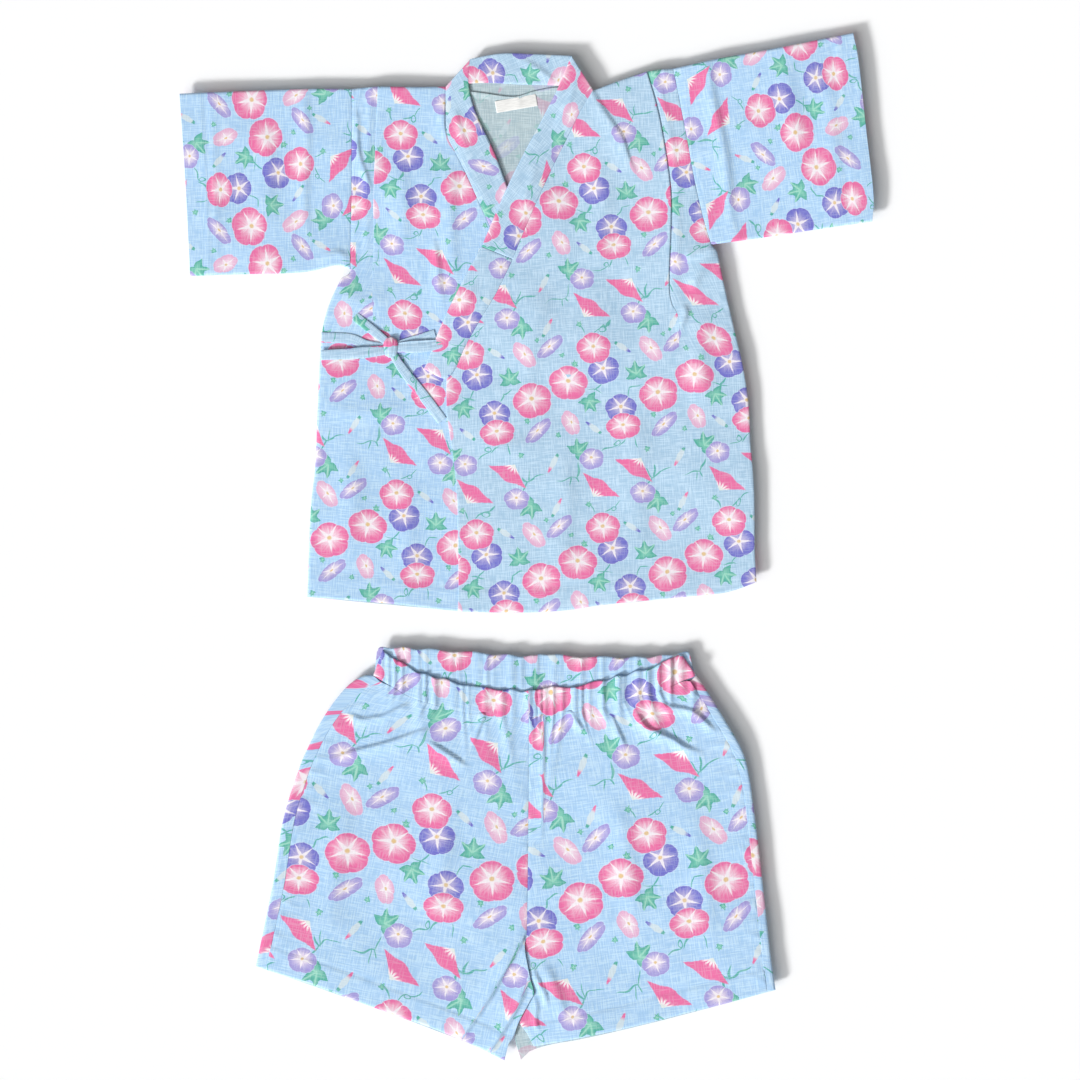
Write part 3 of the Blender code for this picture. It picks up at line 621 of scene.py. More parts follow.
    def trumpet(self, spot, code, dyes):
        """Colour and cover of a flower seen from its side: a fan from its throat, and four streaks."""
        from_throat = self.vector("ADD", self.flat(spot), (0.66, 0, 0))
        x, y, _ = self.split(from_throat)
        reach = self.length(from_throat)
        angle = self.math("ARCTAN2", y, x)
        edge = self.scaled(self.math("SINE", self.scaled(angle, 9, 1.4)), 0.06, 1.3)
        opening = self.scaled(self.times(reach, reach), 0.045, 0.66)
        depth = self.math("MAXIMUM", self.math("DIVIDE", reach, edge), self.math("DIVIDE", self.size(angle),
                                                                                 opening))
        streak = self.times(self.math("PINGPONG", self.math("ADD", angle, 0.28), 0.145), reach)
        streak = self.times(self.step(streak, 0.05, 0.02), self.step(reach, 0.66, 0.36))
        petal = self.blend(streak, dyes[PINK], tint("#FBEFF2"))
        return self.blend(self.step(reach, 0.3, 0.16), petal, tint("#E6EBE6")), depth

    def bud(self, spot, code, dyes):
        """Colour and cover of a rolled bud: green calyx, cream body and coloured tip."""
        x, y, _ = self.split(spot)
        taper = self.scaled(self.size(self.math("ADD", x, 0.1)), -0.75, 1)
        depth = self.math("MAXIMUM", self.math("DIVIDE", self.size(y), taper), self.size(x))
        tip = self.blend(self.math("GREATER_THAN", code, 11.5), dyes[PINK], dyes[PURPLE])
        body = self.blend(self.step(x, 0.3, 0.66), tint("#D3E2EA"), tip)
        return self.blend(self.step(x, -0.58, -0.72), body, dyes[GREEN]), depth

    def leaf(self, spot, code, dyes):
        """Colour and cover of a leaf of five pointed lobes with pale veins."""
        x, y, _ = self.split(spot)
        radius = self.length(self.flat(spot))
        turn = self.size(self.math("ARCTAN2", y, x))
        outline = self.node("FloatCurve", {1: self.math("DIVIDE", turn, pi)})
        curve = outline.node.mapping.curves[0]
        points = ((0, 1), (0.06, 0.8), (0.13, 0.61), (0.18, 0.6), (0.29, 1), (0.36, 0.74), (0.44, 0.54),
                  (0.5, 0.6), (0.6, 0.88), (0.68, 0.62), (0.82, 0.42), (1, 0.2))
        curve.points[0].location, curve.points[1].location = points[0], points[-1]
        for point in points[1:-1]:
            curve.points.new(*point)
        for point in curve.points:
            pointed = round(point.location[0], 2) in (0, 0.29, 0.6)
            point.handle_type = "VECTOR" if pointed else "AUTO"
        outline.node.mapping.update()
        depth = self.math("DIVIDE", radius, outline)
        side = self.size(self.math("SUBTRACT", turn, 0.29 * pi))
        vein = self.times(self.math("MINIMUM", turn, side), radius)
        shade = self.blend(self.step(depth, 0.2, 0.95), self.blend(0.5, dyes[GREEN], tint("#9ADFC8")),
                           dyes[GREEN])
        return self.blend(self.times(self.step(vein, 0.08, 0.02), 0.75), shade, tint("#A5DEC9")), depth


def printed_cotton(name, ground, dyes, fade=0):
    """Cotton with slubs both ways and the flower print; fade is how far the print has sunk in."""
    w = Weaver(name)
    place = w.node("UVMap", uv_map="cloth")
    chart = w.vector("SCALE", place, 1000)
    slub_up = w.noise(w.mapped(chart, scale=(1.15, 0.09, 1)), 1, 0.5)
    slub_across = w.noise(w.mapped(chart, place=(7, 3, 0), scale=(0.08, 1.15, 1)), 1, 0.5)
    edges = w.noise(chart, 0.42, 1, 1)
    drawn = w.vector("ADD", chart, w.vector("MULTIPLY_ADD", edges, (0.8, 0.8, 0), (-0.4, -0.4, 0)))
    bend = w.vector("ADD", chart, w.vector("MULTIPLY_ADD", w.noise(chart, 0.09, 0, 1), (6, 6, 0),
                                           (-3, -3, 0)))

    pale = w.step(slub_up, 0.52, 0.72)
    pale = w.math("MAXIMUM", pale, w.step(slub_across, 0.52, 0.72))
    deep = w.math("MAXIMUM", w.step(slub_up, 0.46, 0.3), w.step(slub_across, 0.46, 0.3))
    light = tuple(min(1, c * 1.16 + 0.05) for c in ground)
    dark = tuple(c * s for c, s in zip(ground, (0.78, 0.87, 0.92)))
    strong = 0.6 if fade else 0.56
    cloth = w.blend(w.times(pale, strong), ground, light)
    cloth = plain = w.blend(w.times(deep, strong), cloth, dark)

    line = 9
    for x0, y0, x1, y1, width in STROKES:
        mid = ((x0 + x1) / 2, (y0 + y1) / 2)
        local = w.mapped(w.near(bend, *mid), (*mid, 0), atan2(y1 - y0, x1 - x0),
                         (hypot(x1 - x0, y1 - y0) / 2 + 1, width * 0.62, 1), "TEXTURE")
        line = w.math("MINIMUM", w.length(local), line)
    for x, y in CURLS:
        away = w.vector("DISTANCE", w.near(bend, x, y), (x, y, 0), out=1)
        ring = w.math("DIVIDE", w.size(w.math("SUBTRACT", away, 1.9)), 0.42)
        line = w.math("MINIMUM", ring, line)
    sprigs = w.times(w.step(line, 1.25, 0.7), 0.95)
    cloth = w.blend(sprigs, cloth, tint("#5AB1A6"))

    halo = tuple(0.5 * c + 0.5 * p for c, p in zip(ground, tint("#EEF6FB")))
    for chosen, others in ((w.motifs(drawn, BEHIND), ("leaf",)), (w.motifs(drawn, BEFORE),
                                                                  ("trumpet", "bud"))):
        code = w.times(w.split(chosen)[2], 1000)
        colour, depth = w.flower(chosen, code, dyes)
        colour_on = w.times(w.step(depth, 0.985, 0.935), w.math("LESS_THAN", code, 4.5))
        halo_on = w.times(w.step(depth, 1, 0.97), w.math("LESS_THAN", code, 4.5))
        for number, kind in enumerate(others):
            shade, reach = getattr(w, kind)(chosen, code, dyes)
            here = w.math("COMPARE", code, 7 + 5 * number, 2.6)
            colour = w.blend(here, colour, shade)
            cover = w.step(reach, 0.99, 0.84 if kind == "bud" else 0.93)
            colour_on = w.scaled(here, cover, colour_on)
        cloth = w.blend(w.times(halo_on, 0.8), cloth, halo)
        cloth = w.blend(colour_on, cloth, colour)

    threads = w.times(pale, 0.15)
    cloth = w.blend(threads, cloth, tint("#E6F1F6"))
    wash = w.noise(chart, 0.045, 1)
    cloth = w.blend(w.scaled(wash, 0.5, -0.12, clamp=True), cloth, w.blend(1, cloth, (0.9, 0.95, 0.97, 1),
                                                                           "MULTIPLY"))
    if fade:
        cloth = w.blend(fade, cloth, plain)
    weave = w.math("ADD", slub_up, slub_across)
    bump = w.node("Bump", {"Strength": 0.4, "Distance": 0.00026, "Height": weave})
    shader = w.node("BsdfPrincipled", {"Base Color": cloth, "Roughness": 0.92, "Normal": bump,
                                       "Specular IOR Level": 0.18, "Sheen Weight": 0.12,
                                       "Sheen Roughness": 0.6})
    return w.finish(shader)


def woven_tape(name, white):
    """White label tape, with fine ribs across it."""
    w = Weaver(name)
    place = w.vector("SCALE", w.node("UVMap", uv_map="cloth"), 1000)
    ribs = w.noise(w.mapped(place, scale=(0.15, 2.2, 1)), 1, 1)
    shade = w.blend(w.step(ribs, 0.35, 0.65), tuple(0.86 * c for c in white), white)
    bump = w.node("Bump", {"Strength": 0.4, "Distance": 0.0002, "Height": ribs})
    return w.finish(w.node("BsdfPrincipled", {"Base Color": shade, "Roughness": 0.75, "Normal": bump,
                                              "Sheen Weight": 0.1}))


# ---------------------------------------------------------------- sizes and colours that a user may change
class JinbeiColours(bpy.types.PropertyGroup):
    ground: bpy.props.FloatVectorProperty(
        name="Jacket ground", description="Ground colour of the jacket's body", subtype="COLOR", size=3,
        default=tint("#B5D2E9"), min=0, max=1)
    bright: bpy.props.FloatVectorProperty(
        name="Bright ground", description="Ground colour of the sleeves and the shorts", subtype="COLOR",
        size=3, default=tint("#B4D5F5"), min=0, max=1)
    pink: bpy.props.FloatVectorProperty(
        name="Pink", description="Pink of the open flowers", subtype="COLOR", size=3,
        default=tint("#EB73A6"), min=0, max=1)
    pale_pink: bpy.props.FloatVectorProperty(
        name="Pale pink", description="Pink of the flowers seen at a slant", subtype="COLOR", size=3,
        default=tint("#E8B4D2"), min=0, max=1)
    lilac: bpy.props.FloatVectorProperty(
        name="Lilac", description="Lilac of the small flowers", subtype="COLOR", size=3,
        default=tint("#A79EDA"), min=0, max=1)
    purple: bpy.props.FloatVectorProperty(
        name="Purple", description="Purple of the flowers behind", subtype="COLOR", size=3,
        default=tint("#7676CB"), min=0, max=1)
    green: bpy.props.FloatVectorProperty(
        name="Green", description="Green of the leaves", subtype="COLOR", size=3,
        default=tint("#54AE9E"), min=0, max=1)
    tape: bpy.props.FloatVectorProperty(
        name="Label", description="White of the blank neck label", subtype="COLOR", size=3,
        default=tint("#F6F5F2"), min=0, max=1)


class JinbeiSizes(bpy.types.PropertyGroup):
    wall: bpy.props.FloatProperty(
        name="Cloth", description="Thickness of one layer of cloth", default=0.0007, min=0.0004,
        max=0.001, unit="LENGTH", precision=4)
    folded_wall: bpy.props.FloatProperty(
        name="Folded cloth", description="Thickness of the bands, collar, ties and casing",
        default=0.0012, min=0.0008, max=0.0015, unit="LENGTH", precision=4)
    relief: bpy.props.FloatProperty(
        name="Creases", description="Height of the creases over their own table", default=1.35, min=0,
        max=1.5)
    gathers: bpy.props.FloatProperty(
        name="Gathers", description="Height of the waist's gathers over their own table", default=1,
        min=0.3, max=1.3)
    hem: bpy.props.FloatProperty(
        name="Hem", description="Depth of the turned hems", default=0.02, min=0.01, max=0.03,
        unit="LENGTH")


BODY = ("Jacket cotton", "Wrong side of cotton")
BRIGHT = ("Bright cotton", "Wrong side of cotton")
BODY_FOLDED, BRIGHT_FOLDED = ("Jacket cotton",) * 2, ("Bright cotton",) * 2


def finishes():
    """The three printed cloths and the label's tape, made once."""
    made = bpy.data.materials
    if "Jacket cotton" not in made:
        colours = bpy.context.scene.jinbei_colours
        dyes = [tuple(getattr(colours, dye)) for dye in ("pink", "pale_pink", "lilac", "purple", "green")]
        jacket = tuple(colours.ground)
        inside = tuple(c * s for c, s in zip(jacket, (0.98, 0.86, 0.72)))
        printed_cotton("Jacket cotton", jacket, dyes)
        printed_cotton("Bright cotton", tuple(colours.bright), dyes)
        printed_cotton("Wrong side of cotton", inside, dyes, fade=0.7)
        woven_tape("Label tape", tuple(colours.tape))
    return made


def sizes():
    return bpy.context.scene.jinbei_sizes


# ---------------------------------------------------------------- where each piece's print starts
Phase = namedtuple("Phase", "anchor turn scale", defaults=(1,))
BACK_PRINT = Phase((20, 30), 0)
OVER_PRINT = Phase((64.3, 15.5), 3)
UNDER_PRINT = Phase((-108.8, 43.3), -3.5)
SLEEVE_RIGHT_PRINT = Phase((-191.1, 320.5), -90)
SLEEVE_LEFT_PRINT = Phase((196.1, 365.8), 98.5)
LEG_RIGHT_PRINT = Phase((-79.4, -222.2), -11, 1.165)
LEG_LEFT_PRINT = Phase((101.2, -242.3), 8, 1.165)
BAND_LEFT_PRINT = Phase((93, 396), -38.6)
BAND_LEFT_END_PRINT = Phase((-56, 205), 0)
BAND_RIGHT_PRINT = Phase((-6.1, 400), -60)
COLLAR_PRINT = Phase((9.2, 435.8), -66)
LABEL_PRINT = Phase((-5, 372), 10)
CASING_PRINT = Phase((-96.8, -15), 0, 1.165)
TIE_PRINT = Phase((-80, 0), 90)


def cover_x(y):
    """The over front's inner edge at this height, as far as the under band goes."""
    edge = np.array(COVER_EDGE)[::-1]
    return np.interp(y, edge[:, 1], edge[:, 0])


def over_height(x, y):
    """The over front's height: over the under band's, and lower beside it."""
    away = ease((x - cover_x(y) - 20) / 34)
    return TOP_BESIDE + (TOP_OVER - TOP_BESIDE) * (1 - away) * (0.12 + 0.88 * ease((y - 120) / 60))


def moved(edge, dx, dy=0):
    return tuple((x + dx, y + dy) for x, y in edge)


def joined(*edges):
    """Edges end to end, with a corner at each joint."""
    return sum(edges, ())


def span(edge):
    """How far apart an edge's ends are."""
    return hypot(edge[0][0] - edge[-1][0], edge[0][1] - edge[-1][1])


def tucked(side, neck_side, armhole_side, height, fade_from, fade_to, hides, neck_moves=(0, 0)):
    """Raise the neck side of a tuck at its fold, and sink the armhole side, with its print, under it.

    side is where the armhole side lies from the fold. The two edges stand a hair apart.
    """
    inner, outer, last, first, step = ("right", "left", -1, 0, 0.05) if side == "right" else ("left",
                                                                                              "right", 0,
                                                                                              -1, -0.05)
    live, live_under = (ease((part.y - fade_to) / (fade_from - fade_to)) for part in (neck_side,
                                                                                      armhole_side))
    away = neck_side.from_edge(inner)
    neck_side.z += height * live * np.exp(-away / 14) * (0.3 + 0.7 * rounded(away, 1.6))
    away = armhole_side.from_edge(outer)
    ridge = 0.4 * np.exp(-(((away - 6) / 3) ** 2))
    armhole_side.z += live_under * (ridge - 0.6 * height * np.exp(-((away / 0.9) ** 2)))
    for part, (dx, dy) in ((armhole_side, hides), (neck_side, neck_moves)):
        hidden = np.clip((part.y - fade_to + 25) / (fade_from - fade_to + 25), 0, 1)
        part.spread_x += hidden * dx
        part.spread_y += hidden * dy
    neck_side.x[:, last] -= step
    armhole_side.x[:, first] += step


def pleated(cloth, route, shift, y_low=-1000, side=1):
    """Move the print on one side of a fold (1 right, -1 left), by the cloth that the fold takes in."""
    line = np.array(route)
    order = np.argsort(line[:, 1])
    at = np.interp(cloth.y, line[order, 1], line[order, 0])
    past = np.clip(side * (cloth.x - at) / 1.6 + 0.5, 0, 1) * (cloth.y < line[:, 1].max())
    past = past * ease((cloth.y - y_low) / 20)
    cloth.spread_x += shift[0] * past
    cloth.spread_y += shift[1] * past


def puckers(cloth, side, reach, height, pitch, seed):
    """Small ridges that leave a seam at a right angle, uneven in length and height."""
    rng = np.random.default_rng(seed)
    away = cloth.from_edge(side)
    along = cloth.y if side in ("left", "right") else cloth.x
    at = along.min()
    while at < along.max():
        at += pitch * rng.uniform(0.6, 1.7)
        width = pitch * rng.uniform(0.22, 0.4)
        length = reach * rng.uniform(0.5, 1.3)
        lean = rng.uniform(-0.5, 0.5)
        shape = np.exp(-(((along - at - lean * away) / width) ** 2))
        cloth.z += height * rng.uniform(0.3, 1) * shape * np.exp(-((away / length) ** 2)) * ease((away + 1)
                                                                                                 / 3)


# ---------------------------------------------------------------- the jacket's body
def make_top_back():
    top = joined(SHOULDER_RIGHT, NECKLINE, SHOULDER_LEFT)
    left, right = joined(ARMHOLE_RIGHT, SIDE_RIGHT), joined(ARMHOLE_LEFT, SIDE_LEFT)
    cloth = Cloth(top, HEM_BACK, left, right, stations(66, 372), stations(92, 450))
    cloth.z += TOP_BACK
    cloth.lay()
    for side in ("left", "right"):
        cloth.z += 0.55 * (1 - ease(cloth.from_edge(side) / 14))
    neck = np.exp(-(((cloth.x + 2) / 52) ** 2)) * ease((cloth.y - 330) / 40)
    cloth.z += 0.7 * neck
    cloth.crease(BACK_CREASES)
    piece = sew("jacket_back", "top_back", cloth, BACK_PRINT, ("Wrong side of cotton", "Jacket cotton"))
    declare(whole(top, right, HEM_BACK, left))


def lay_front(part, height, creases, share=1):
    """Lay one side of a front: its height, its creases, its hem, and both its ends rolled down."""
    part.z += height
    part.lay()
    part.z += sizes().relief * share * part.folds(creases)
    part.hem("bottom", sizes().hem / MM)
    part.roll("bottom", 1.3)
    part.roll("top", 1.5, 2.6)


def sink_armhole(part, side, drop, width, below, pitch, shoulder, seed):
    """Sink and pucker a front's armhole edge, roll it down below the sleeve, and pucker its shoulder."""
    away = part.from_edge(side)
    part.z -= 0.35 * np.exp(-away / 7)
    part.z -= drop * (1 - rounded(away, width)) * ease((below - part.y) / 12)
    puckers(part, side, 9, 0.55, pitch, seed)
    puckers(part, "top", 12, shoulder, 7, seed + 2)


def make_top_front_right():
    v = stations(184, 450)
    side, inner = joined(ARMHOLE_RIGHT, SIDE_RIGHT), joined(moved(BAND_SEAM_RIGHT, -0.2), FRONT_EDGE_RIGHT)
    armhole_side = Cloth(((-146.5, 384), (-135, 385.2), (-124.7, 386)), ((-184, -42.4), (-144, -45.4),
                                                                         (-104, -49)), side, TUCK_RIGHT,
                         stations(30, 60), v)
    neck_side = Cloth(((-124.7, 386), (-94, 385.5), (-66.8, 386)), ((-104, -49), (-57.5, -54), (-4, -54.9),
                                                                    (30, -53.4)), TUCK_RIGHT, inner,
                      stations(52, 110), v)
    for part in (armhole_side, neck_side):
        lay_front(part, TOP_UNDER, UNDER_CREASES, 1 - ease((part.x - cover_x(part.y) + 8) / 8))
    sink_armhole(armhole_side, "left", 0.9, 2.4, 236, 10, 0.8, 3)
    neck_side.roll("right", 0.8)
    puckers(neck_side, "right", 7, 0.35, 13, 7)
    tucked("left", neck_side, armhole_side, 0.22, 289, 205, (-35, 0), (15, 0))
    piece = sew("jacket_front_right", "top_front_right", armhole_side.beside(neck_side), UNDER_PRINT,
                BRIGHT)
    declare(whole(SHOULDER_RIGHT, inner, HEM_RIGHT, side), 1.04)


def make_top_front_left():
    v = stations(188, 460)
    side = joined(ARMHOLE_LEFT, SIDE_LEFT)
    inner = joined(moved(BAND_SEAM_LEFT, 0.2), moved(BAND_SEAM_LEFT_END[1:], 0.2), FRONT_EDGE_LEFT[1:])
    neck_side = Cloth(((55.4, 382.5), (78, 391), (101, 398.6)), ((-57.5, -54), (-48, -54.8), (-4, -55.4),
                                                                 (31, -53.7), (64, -49), (112, -44.2)),
                      inner, TUCK_LEFT, stations(108, 150), v)
    armhole_side = Cloth(((101, 398.6), (112, 400.4), (123, 401)), ((112, -44.2), (150, -40.6), (170, -38),
                                                                    (193, -30)), TUCK_LEFT, side,
                         stations(28, 60), v)
    for part in (neck_side, armhole_side):
        lay_front(part, over_height(part.x, part.y), OVER_CREASES)
    sink_armhole(armhole_side, "right", 0.65, 1.4, 260, 11, 0.7, 13)
    neck_side.roll("left", 0.8 * ease((neck_side.y - 140) / 20), 1.5)
    puckers(neck_side, "left", 7, 0.35, 13, 17)
    tucked("right", neck_side, armhole_side, 0.95, 240, 186, (28, -8))
    piece = sew("jacket_front_left", "top_front_left", neck_side.beside(armhole_side), OVER_PRINT, BODY)
    declare(whole(SHOULDER_LEFT, side, HEM_LEFT, inner), 1.05)


# ---------------------------------------------------------------- sleeves
def make_sleeve(name, node, top, foot, seam, cuff, phase, creases, seed, seam_side):
    """A sleeve as a flattened tube, whose rows run from high X to low X and columns round the folds."""
    if seam_side == "right":
        first, last, seam_edge, cuff_edge = seam, cuff, "top", "bottom"
    else:
        first, last, seam_edge, cuff_edge = cuff, seam, "bottom", "top"
    top, foot = top[::-1], foot[::-1]
    rows = stations(64, 150)
    upper = Cloth(first, last, top, foot, stations(66, 155, (0.35, 0.9, 1.7, 2.6)), rows)
    lower = Cloth(first[::-1], last[::-1], foot, top, stations(30, 155, (0.9, 1.7, 2.6)), rows)
    lower.spread_y = 2 * foot[0][1] - lower.y
    for part, sign in ((upper, 1), (lower, -1)):
        part.z += SLEEVE_DEPTH / 2 + sign * SLEEVE_DEPTH / 2 * rounded(part.from_sides(), 2)
    inner = rounded(upper.from_sides(), 9)
    upper.z += sizes().relief * upper.folds(creases) * inner
    upper.z -= 0.8 * np.exp(-upper.from_edge(seam_edge) / 6) * inner
    upper.roll(seam_edge, 0.12, 0.9)
    puckers(upper, seam_edge, 9, 0.55, 10, seed)
    past_hem = upper.from_edge(cuff_edge) - sizes().hem / MM
    upper.z += (0.3 * (1 - ease(past_hem / 2.5 + 0.5)) - 0.5 * np.exp(-((past_hem / 0.9) ** 2))) * inner
    puckers(upper, cuff_edge, 12, 0.4, 17, seed + 1)
    for part in (upper, lower):
        part.lay()
    piece = sew(name, node, upper.beside(lower), phase, BRIGHT, weld=True)


# ---------------------------------------------------------------- collar and bands
def make_band(name, node, top, bottom, left, right, height, phase, ends, seed=31, columns=15,
              rows=100, creases=(), flush=None):
    """A folded band: a double layer, rounded along both edges, or along one where the other lies flush."""
    cloth = Cloth(top, bottom, left, right, stations(columns, max(span(top), 14), (0.3, 0.8, 1.5)),
                  stations(rows, span(left), (0.4, 1)))
    cloth.z += height(cloth.x, cloth.y)
    cloth.lay()
    away = cloth.from_sides()
    cloth.z += 0.35 * (rounded(away, 7) - 1)
    puckers(cloth, "left", 6, 0.3, 15, seed)
    puckers(cloth, "right", 6, 0.3, 15, seed + 1)
    cloth.crease(creases, sizes().relief)
    if flush:
        cloth.z -= 0.62 * np.exp(-((cloth.from_edge(flush) / 4) ** 2))
        away = cloth.from_edge("left" if flush == "right" else "right")
    cloth.z += 0.35 - (1 - rounded(away, 1.5))
    for side, drop in zip(("top", "bottom"), ends):
        cloth.roll(side, drop, 1.4)
    piece = sew(name, node, cloth, phase, BODY_FOLDED, sizes().folded_wall / MM)
    flat, area = cut_size(whole(top, right, bottom, left))


def make_collar():
    make_band("band_right", "collar_band_right", ((-66.3, 387), (-47.2, 408.6)),
              ((29, 149), (36.5, 141), (50.5, 160)), moved(BAND_SEAM_RIGHT, -0.8), BAND_EDGE_RIGHT,
              lambda x, y: TOP_BAND, BAND_RIGHT_PRINT, (0.6, 0.6),
              flush="left", creases=(Crease(0.7, 1.5, 3, 0, 0, ((-60, 372), (-56, 350), (-48, 330))),))
    make_band("band_left", "collar_band_left", ((37.5, 411.6), (55, 383.2)), ((-37.3, 251.9),
                                                                              (-12.6, 241.5)),
              BAND_EDGE_LEFT, moved(BAND_SEAM_LEFT, 0.8), lambda x, y: over_height(x, y) + 0.75,
              BAND_LEFT_PRINT, (0.6, 0.5), 41, rows=80, flush="right",
              creases=(Crease(0.6, 1.5, 3, 0.2, 0, ((44, 398), (36, 372), (22, 345))),
                       Crease(0.6, 2, 4, 0, 0, ((10, 322), (4, 305), (-6, 286)))))
    make_band("band_left_end", "collar_band_left_end", ((-37.7, 251.1), (-12.8, 240.5)),
              ((-86, 149), (-69, 140.4), (-60.2, 148.6)), BAND_EDGE_LEFT_END, moved(BAND_SEAM_LEFT_END,
                                                                                    0.8), lambda x,
              y: over_height(x, y) + 0.65, BAND_LEFT_END_PRINT,
              (0.5, 0.7), 51, rows=44, flush="right", creases=(Crease(0.8, 2, 5, 0, 0,
                                                                      ((-40, 226), (-52, 200),
                                                                       (-66, 176))),))
    make_band("collar_back", "collar_neck", COLLAR_TOP, ((-66.2, 386.6), (-36, 389), (-6, 387.6),
                                                         (25, 386.6), (54.8, 384)),
              ((-47, 409.2), (-66.2, 386.6)), ((37.2, 411.8), (54.8, 384)), lambda x,
              y: 2.55 + 0.5 * ease((np.abs(x + 4) - 20) / 24), COLLAR_PRINT, (1, 1), 61,
              46, 14, creases=(Crease(0.8, 1.5, 3.5, 0.3, 0, ((-6, 410), (8, 402), (20, 393), (27, 387))),
                               Crease(0.5, 3, 5, 0, 0, ((-40, 400), (-30, 396), (-14, 398)))))


def make_neck_seam():
    """The fold of cloth under the collar's seam at the back of the neck."""
    cloth = Cloth(NECK_SEAM, moved(NECK_SEAM, 0, -10), (NECK_SEAM[0], (-62, 374)),
                  (NECK_SEAM[-1], (52, 373)), stations(60, 114), stations(11, 10, (0.3, 0.8)))
    away = cloth.from_edge("top")
    cloth.z += TOP_BACK + 0.7 * np.exp(-(((cloth.x + 2) / 52) ** 2))
    cloth.z += 1.15 * np.exp(-((away / 3.4) ** 2)) - 0.1
    cloth.lay()
    puckers(cloth, "top", 6, 0.5, 6, 91)
    piece = sew("neck_seam", "top_back", cloth, BACK_PRINT, ("Wrong side of cotton",) * 2, SEAM_WALL)


def make_neck_label():
    turn = radians(10)
    across, down = np.array((cos(turn), sin(turn))), np.array((sin(turn), -cos(turn)))
    middle = np.array((-8.6, 371.6))
    corner = [tuple(middle + across * x + down * y) for x, y in ((-17.5, -5), (17.5, -5), (17.5, 5),
                                                                 (-17.5, 5))]
    cloth = Cloth(corner[:2], (corner[3], corner[2]), (corner[0], corner[3]), corner[1:3],
                  stations(30, 35, (0.3, 0.8)), stations(12, 10, (0.3, 0.8)))
    cloth.z += TOP_LABEL
    cloth.lay()
    cloth.crease((Crease(0.35, 3, 5, 0.5, 0.5, ((-8, 379), (-6, 366))),))
    for side in ("left", "right", "bottom"):
        cloth.roll(side, 0.25, 1)
    piece = sew("blank_label", "neck_label", cloth, LABEL_PRINT, ("Label tape",) * 2, LABEL_WALL)


# ---------------------------------------------------------------- ties and their bow
class Strip(Cloth):
    """Cloth along a route: widths and heights at its points, and a slight crown across."""

    def __init__(self, route, widths, heights, along, crown):
        shares = np.linspace(0, 1, len(route))
        v = stations(along, 60, (0.3, 0.8))
        line = run(route, v)
        heading = np.gradient(line, v, axis=0)
        heading /= np.hypot(*heading.T)[:, None]
        side = np.stack([-heading[:, 1], heading[:, 0]], axis=1)
        u = stations(9, 10, (0.25, 0.7))
        width = np.interp(v, shares, widths)
        place = line[:, None] + side[:, None] * (u[None, :, None] - 0.5) * width[:, None, None]
        self.x, self.y = place[..., 0], place[..., 1]
        self.z = np.interp(v, shares, heights)[:, None] * np.ones_like(self.x)
        self.z += crown * (rounded(np.minimum(u, 1 - u)[None] * width[:, None], 2.2) - 1)
        self.dx, self.dy = np.zeros_like(self.x), np.zeros_like(self.x)
        steps = np.concatenate([[0], np.cumsum(np.hypot(*np.diff(line, axis=0).T))])
        self.spread_x = (u[None, :] - 0.5) * width[:, None]
        self.spread_y = steps[:, None] * np.ones_like(self.x)


def make_tie(name, node, route, widths, heights, ends, start, with_pieces=()):
    # a strip's columns run to the left of its route, so it is turned round to face up
    cloth = Strip(route[::-1], widths[::-1], heights[::-1], 60, 0.5)
    cloth.spread_y += start
    cloth.lay()
    for side, drop in zip(("bottom", "top"), ends):
        cloth.roll(side, drop, 1.2)
    cloth.x, cloth.y, cloth.z = (field[::-1, ::-1] for field in (cloth.x, cloth.y, cloth.z))
    piece = sew(name, node, cloth, TIE_PRINT, BODY_FOLDED, TIE_WALL)


def make_loop(name, node, route, widths, start, creases):
    """A bow's loop: a strip out to its tip and back under itself."""
    out = Strip(route, widths, (LOOP_HIGH,) * len(route), 34, 0.6)
    back = Strip(route, tuple(w * 0.97 for w in widths), (LOOP_LOW,) * len(route), 34, -0.2)
    v = np.linspace(0, 1, out.x.shape[0])[:, None]
    out.z += np.sin(pi * np.clip(v * 1.05, 0, 1)) * 0.9
    tip = rounded((1 - v) * 22, 2.6)
    middle = (LOOP_HIGH + LOOP_LOW) / 2
    for part, folds in ((out, creases), (back, ())):
        part.z = middle + (part.z - middle) * (0.12 + 0.88 * tip)
        part.crease(folds)
        part.lay()
    back.spread_y = 2 * out.spread_y[-1:] - back.spread_y
    for field in FIELDS:
        setattr(out, field, np.vstack([getattr(out, field), getattr(back, field)[::-1][1:]]))
    out.spread_y += start
    piece = sew(name, node, out, TIE_PRINT, BODY_FOLDED, LOOP_WALL)


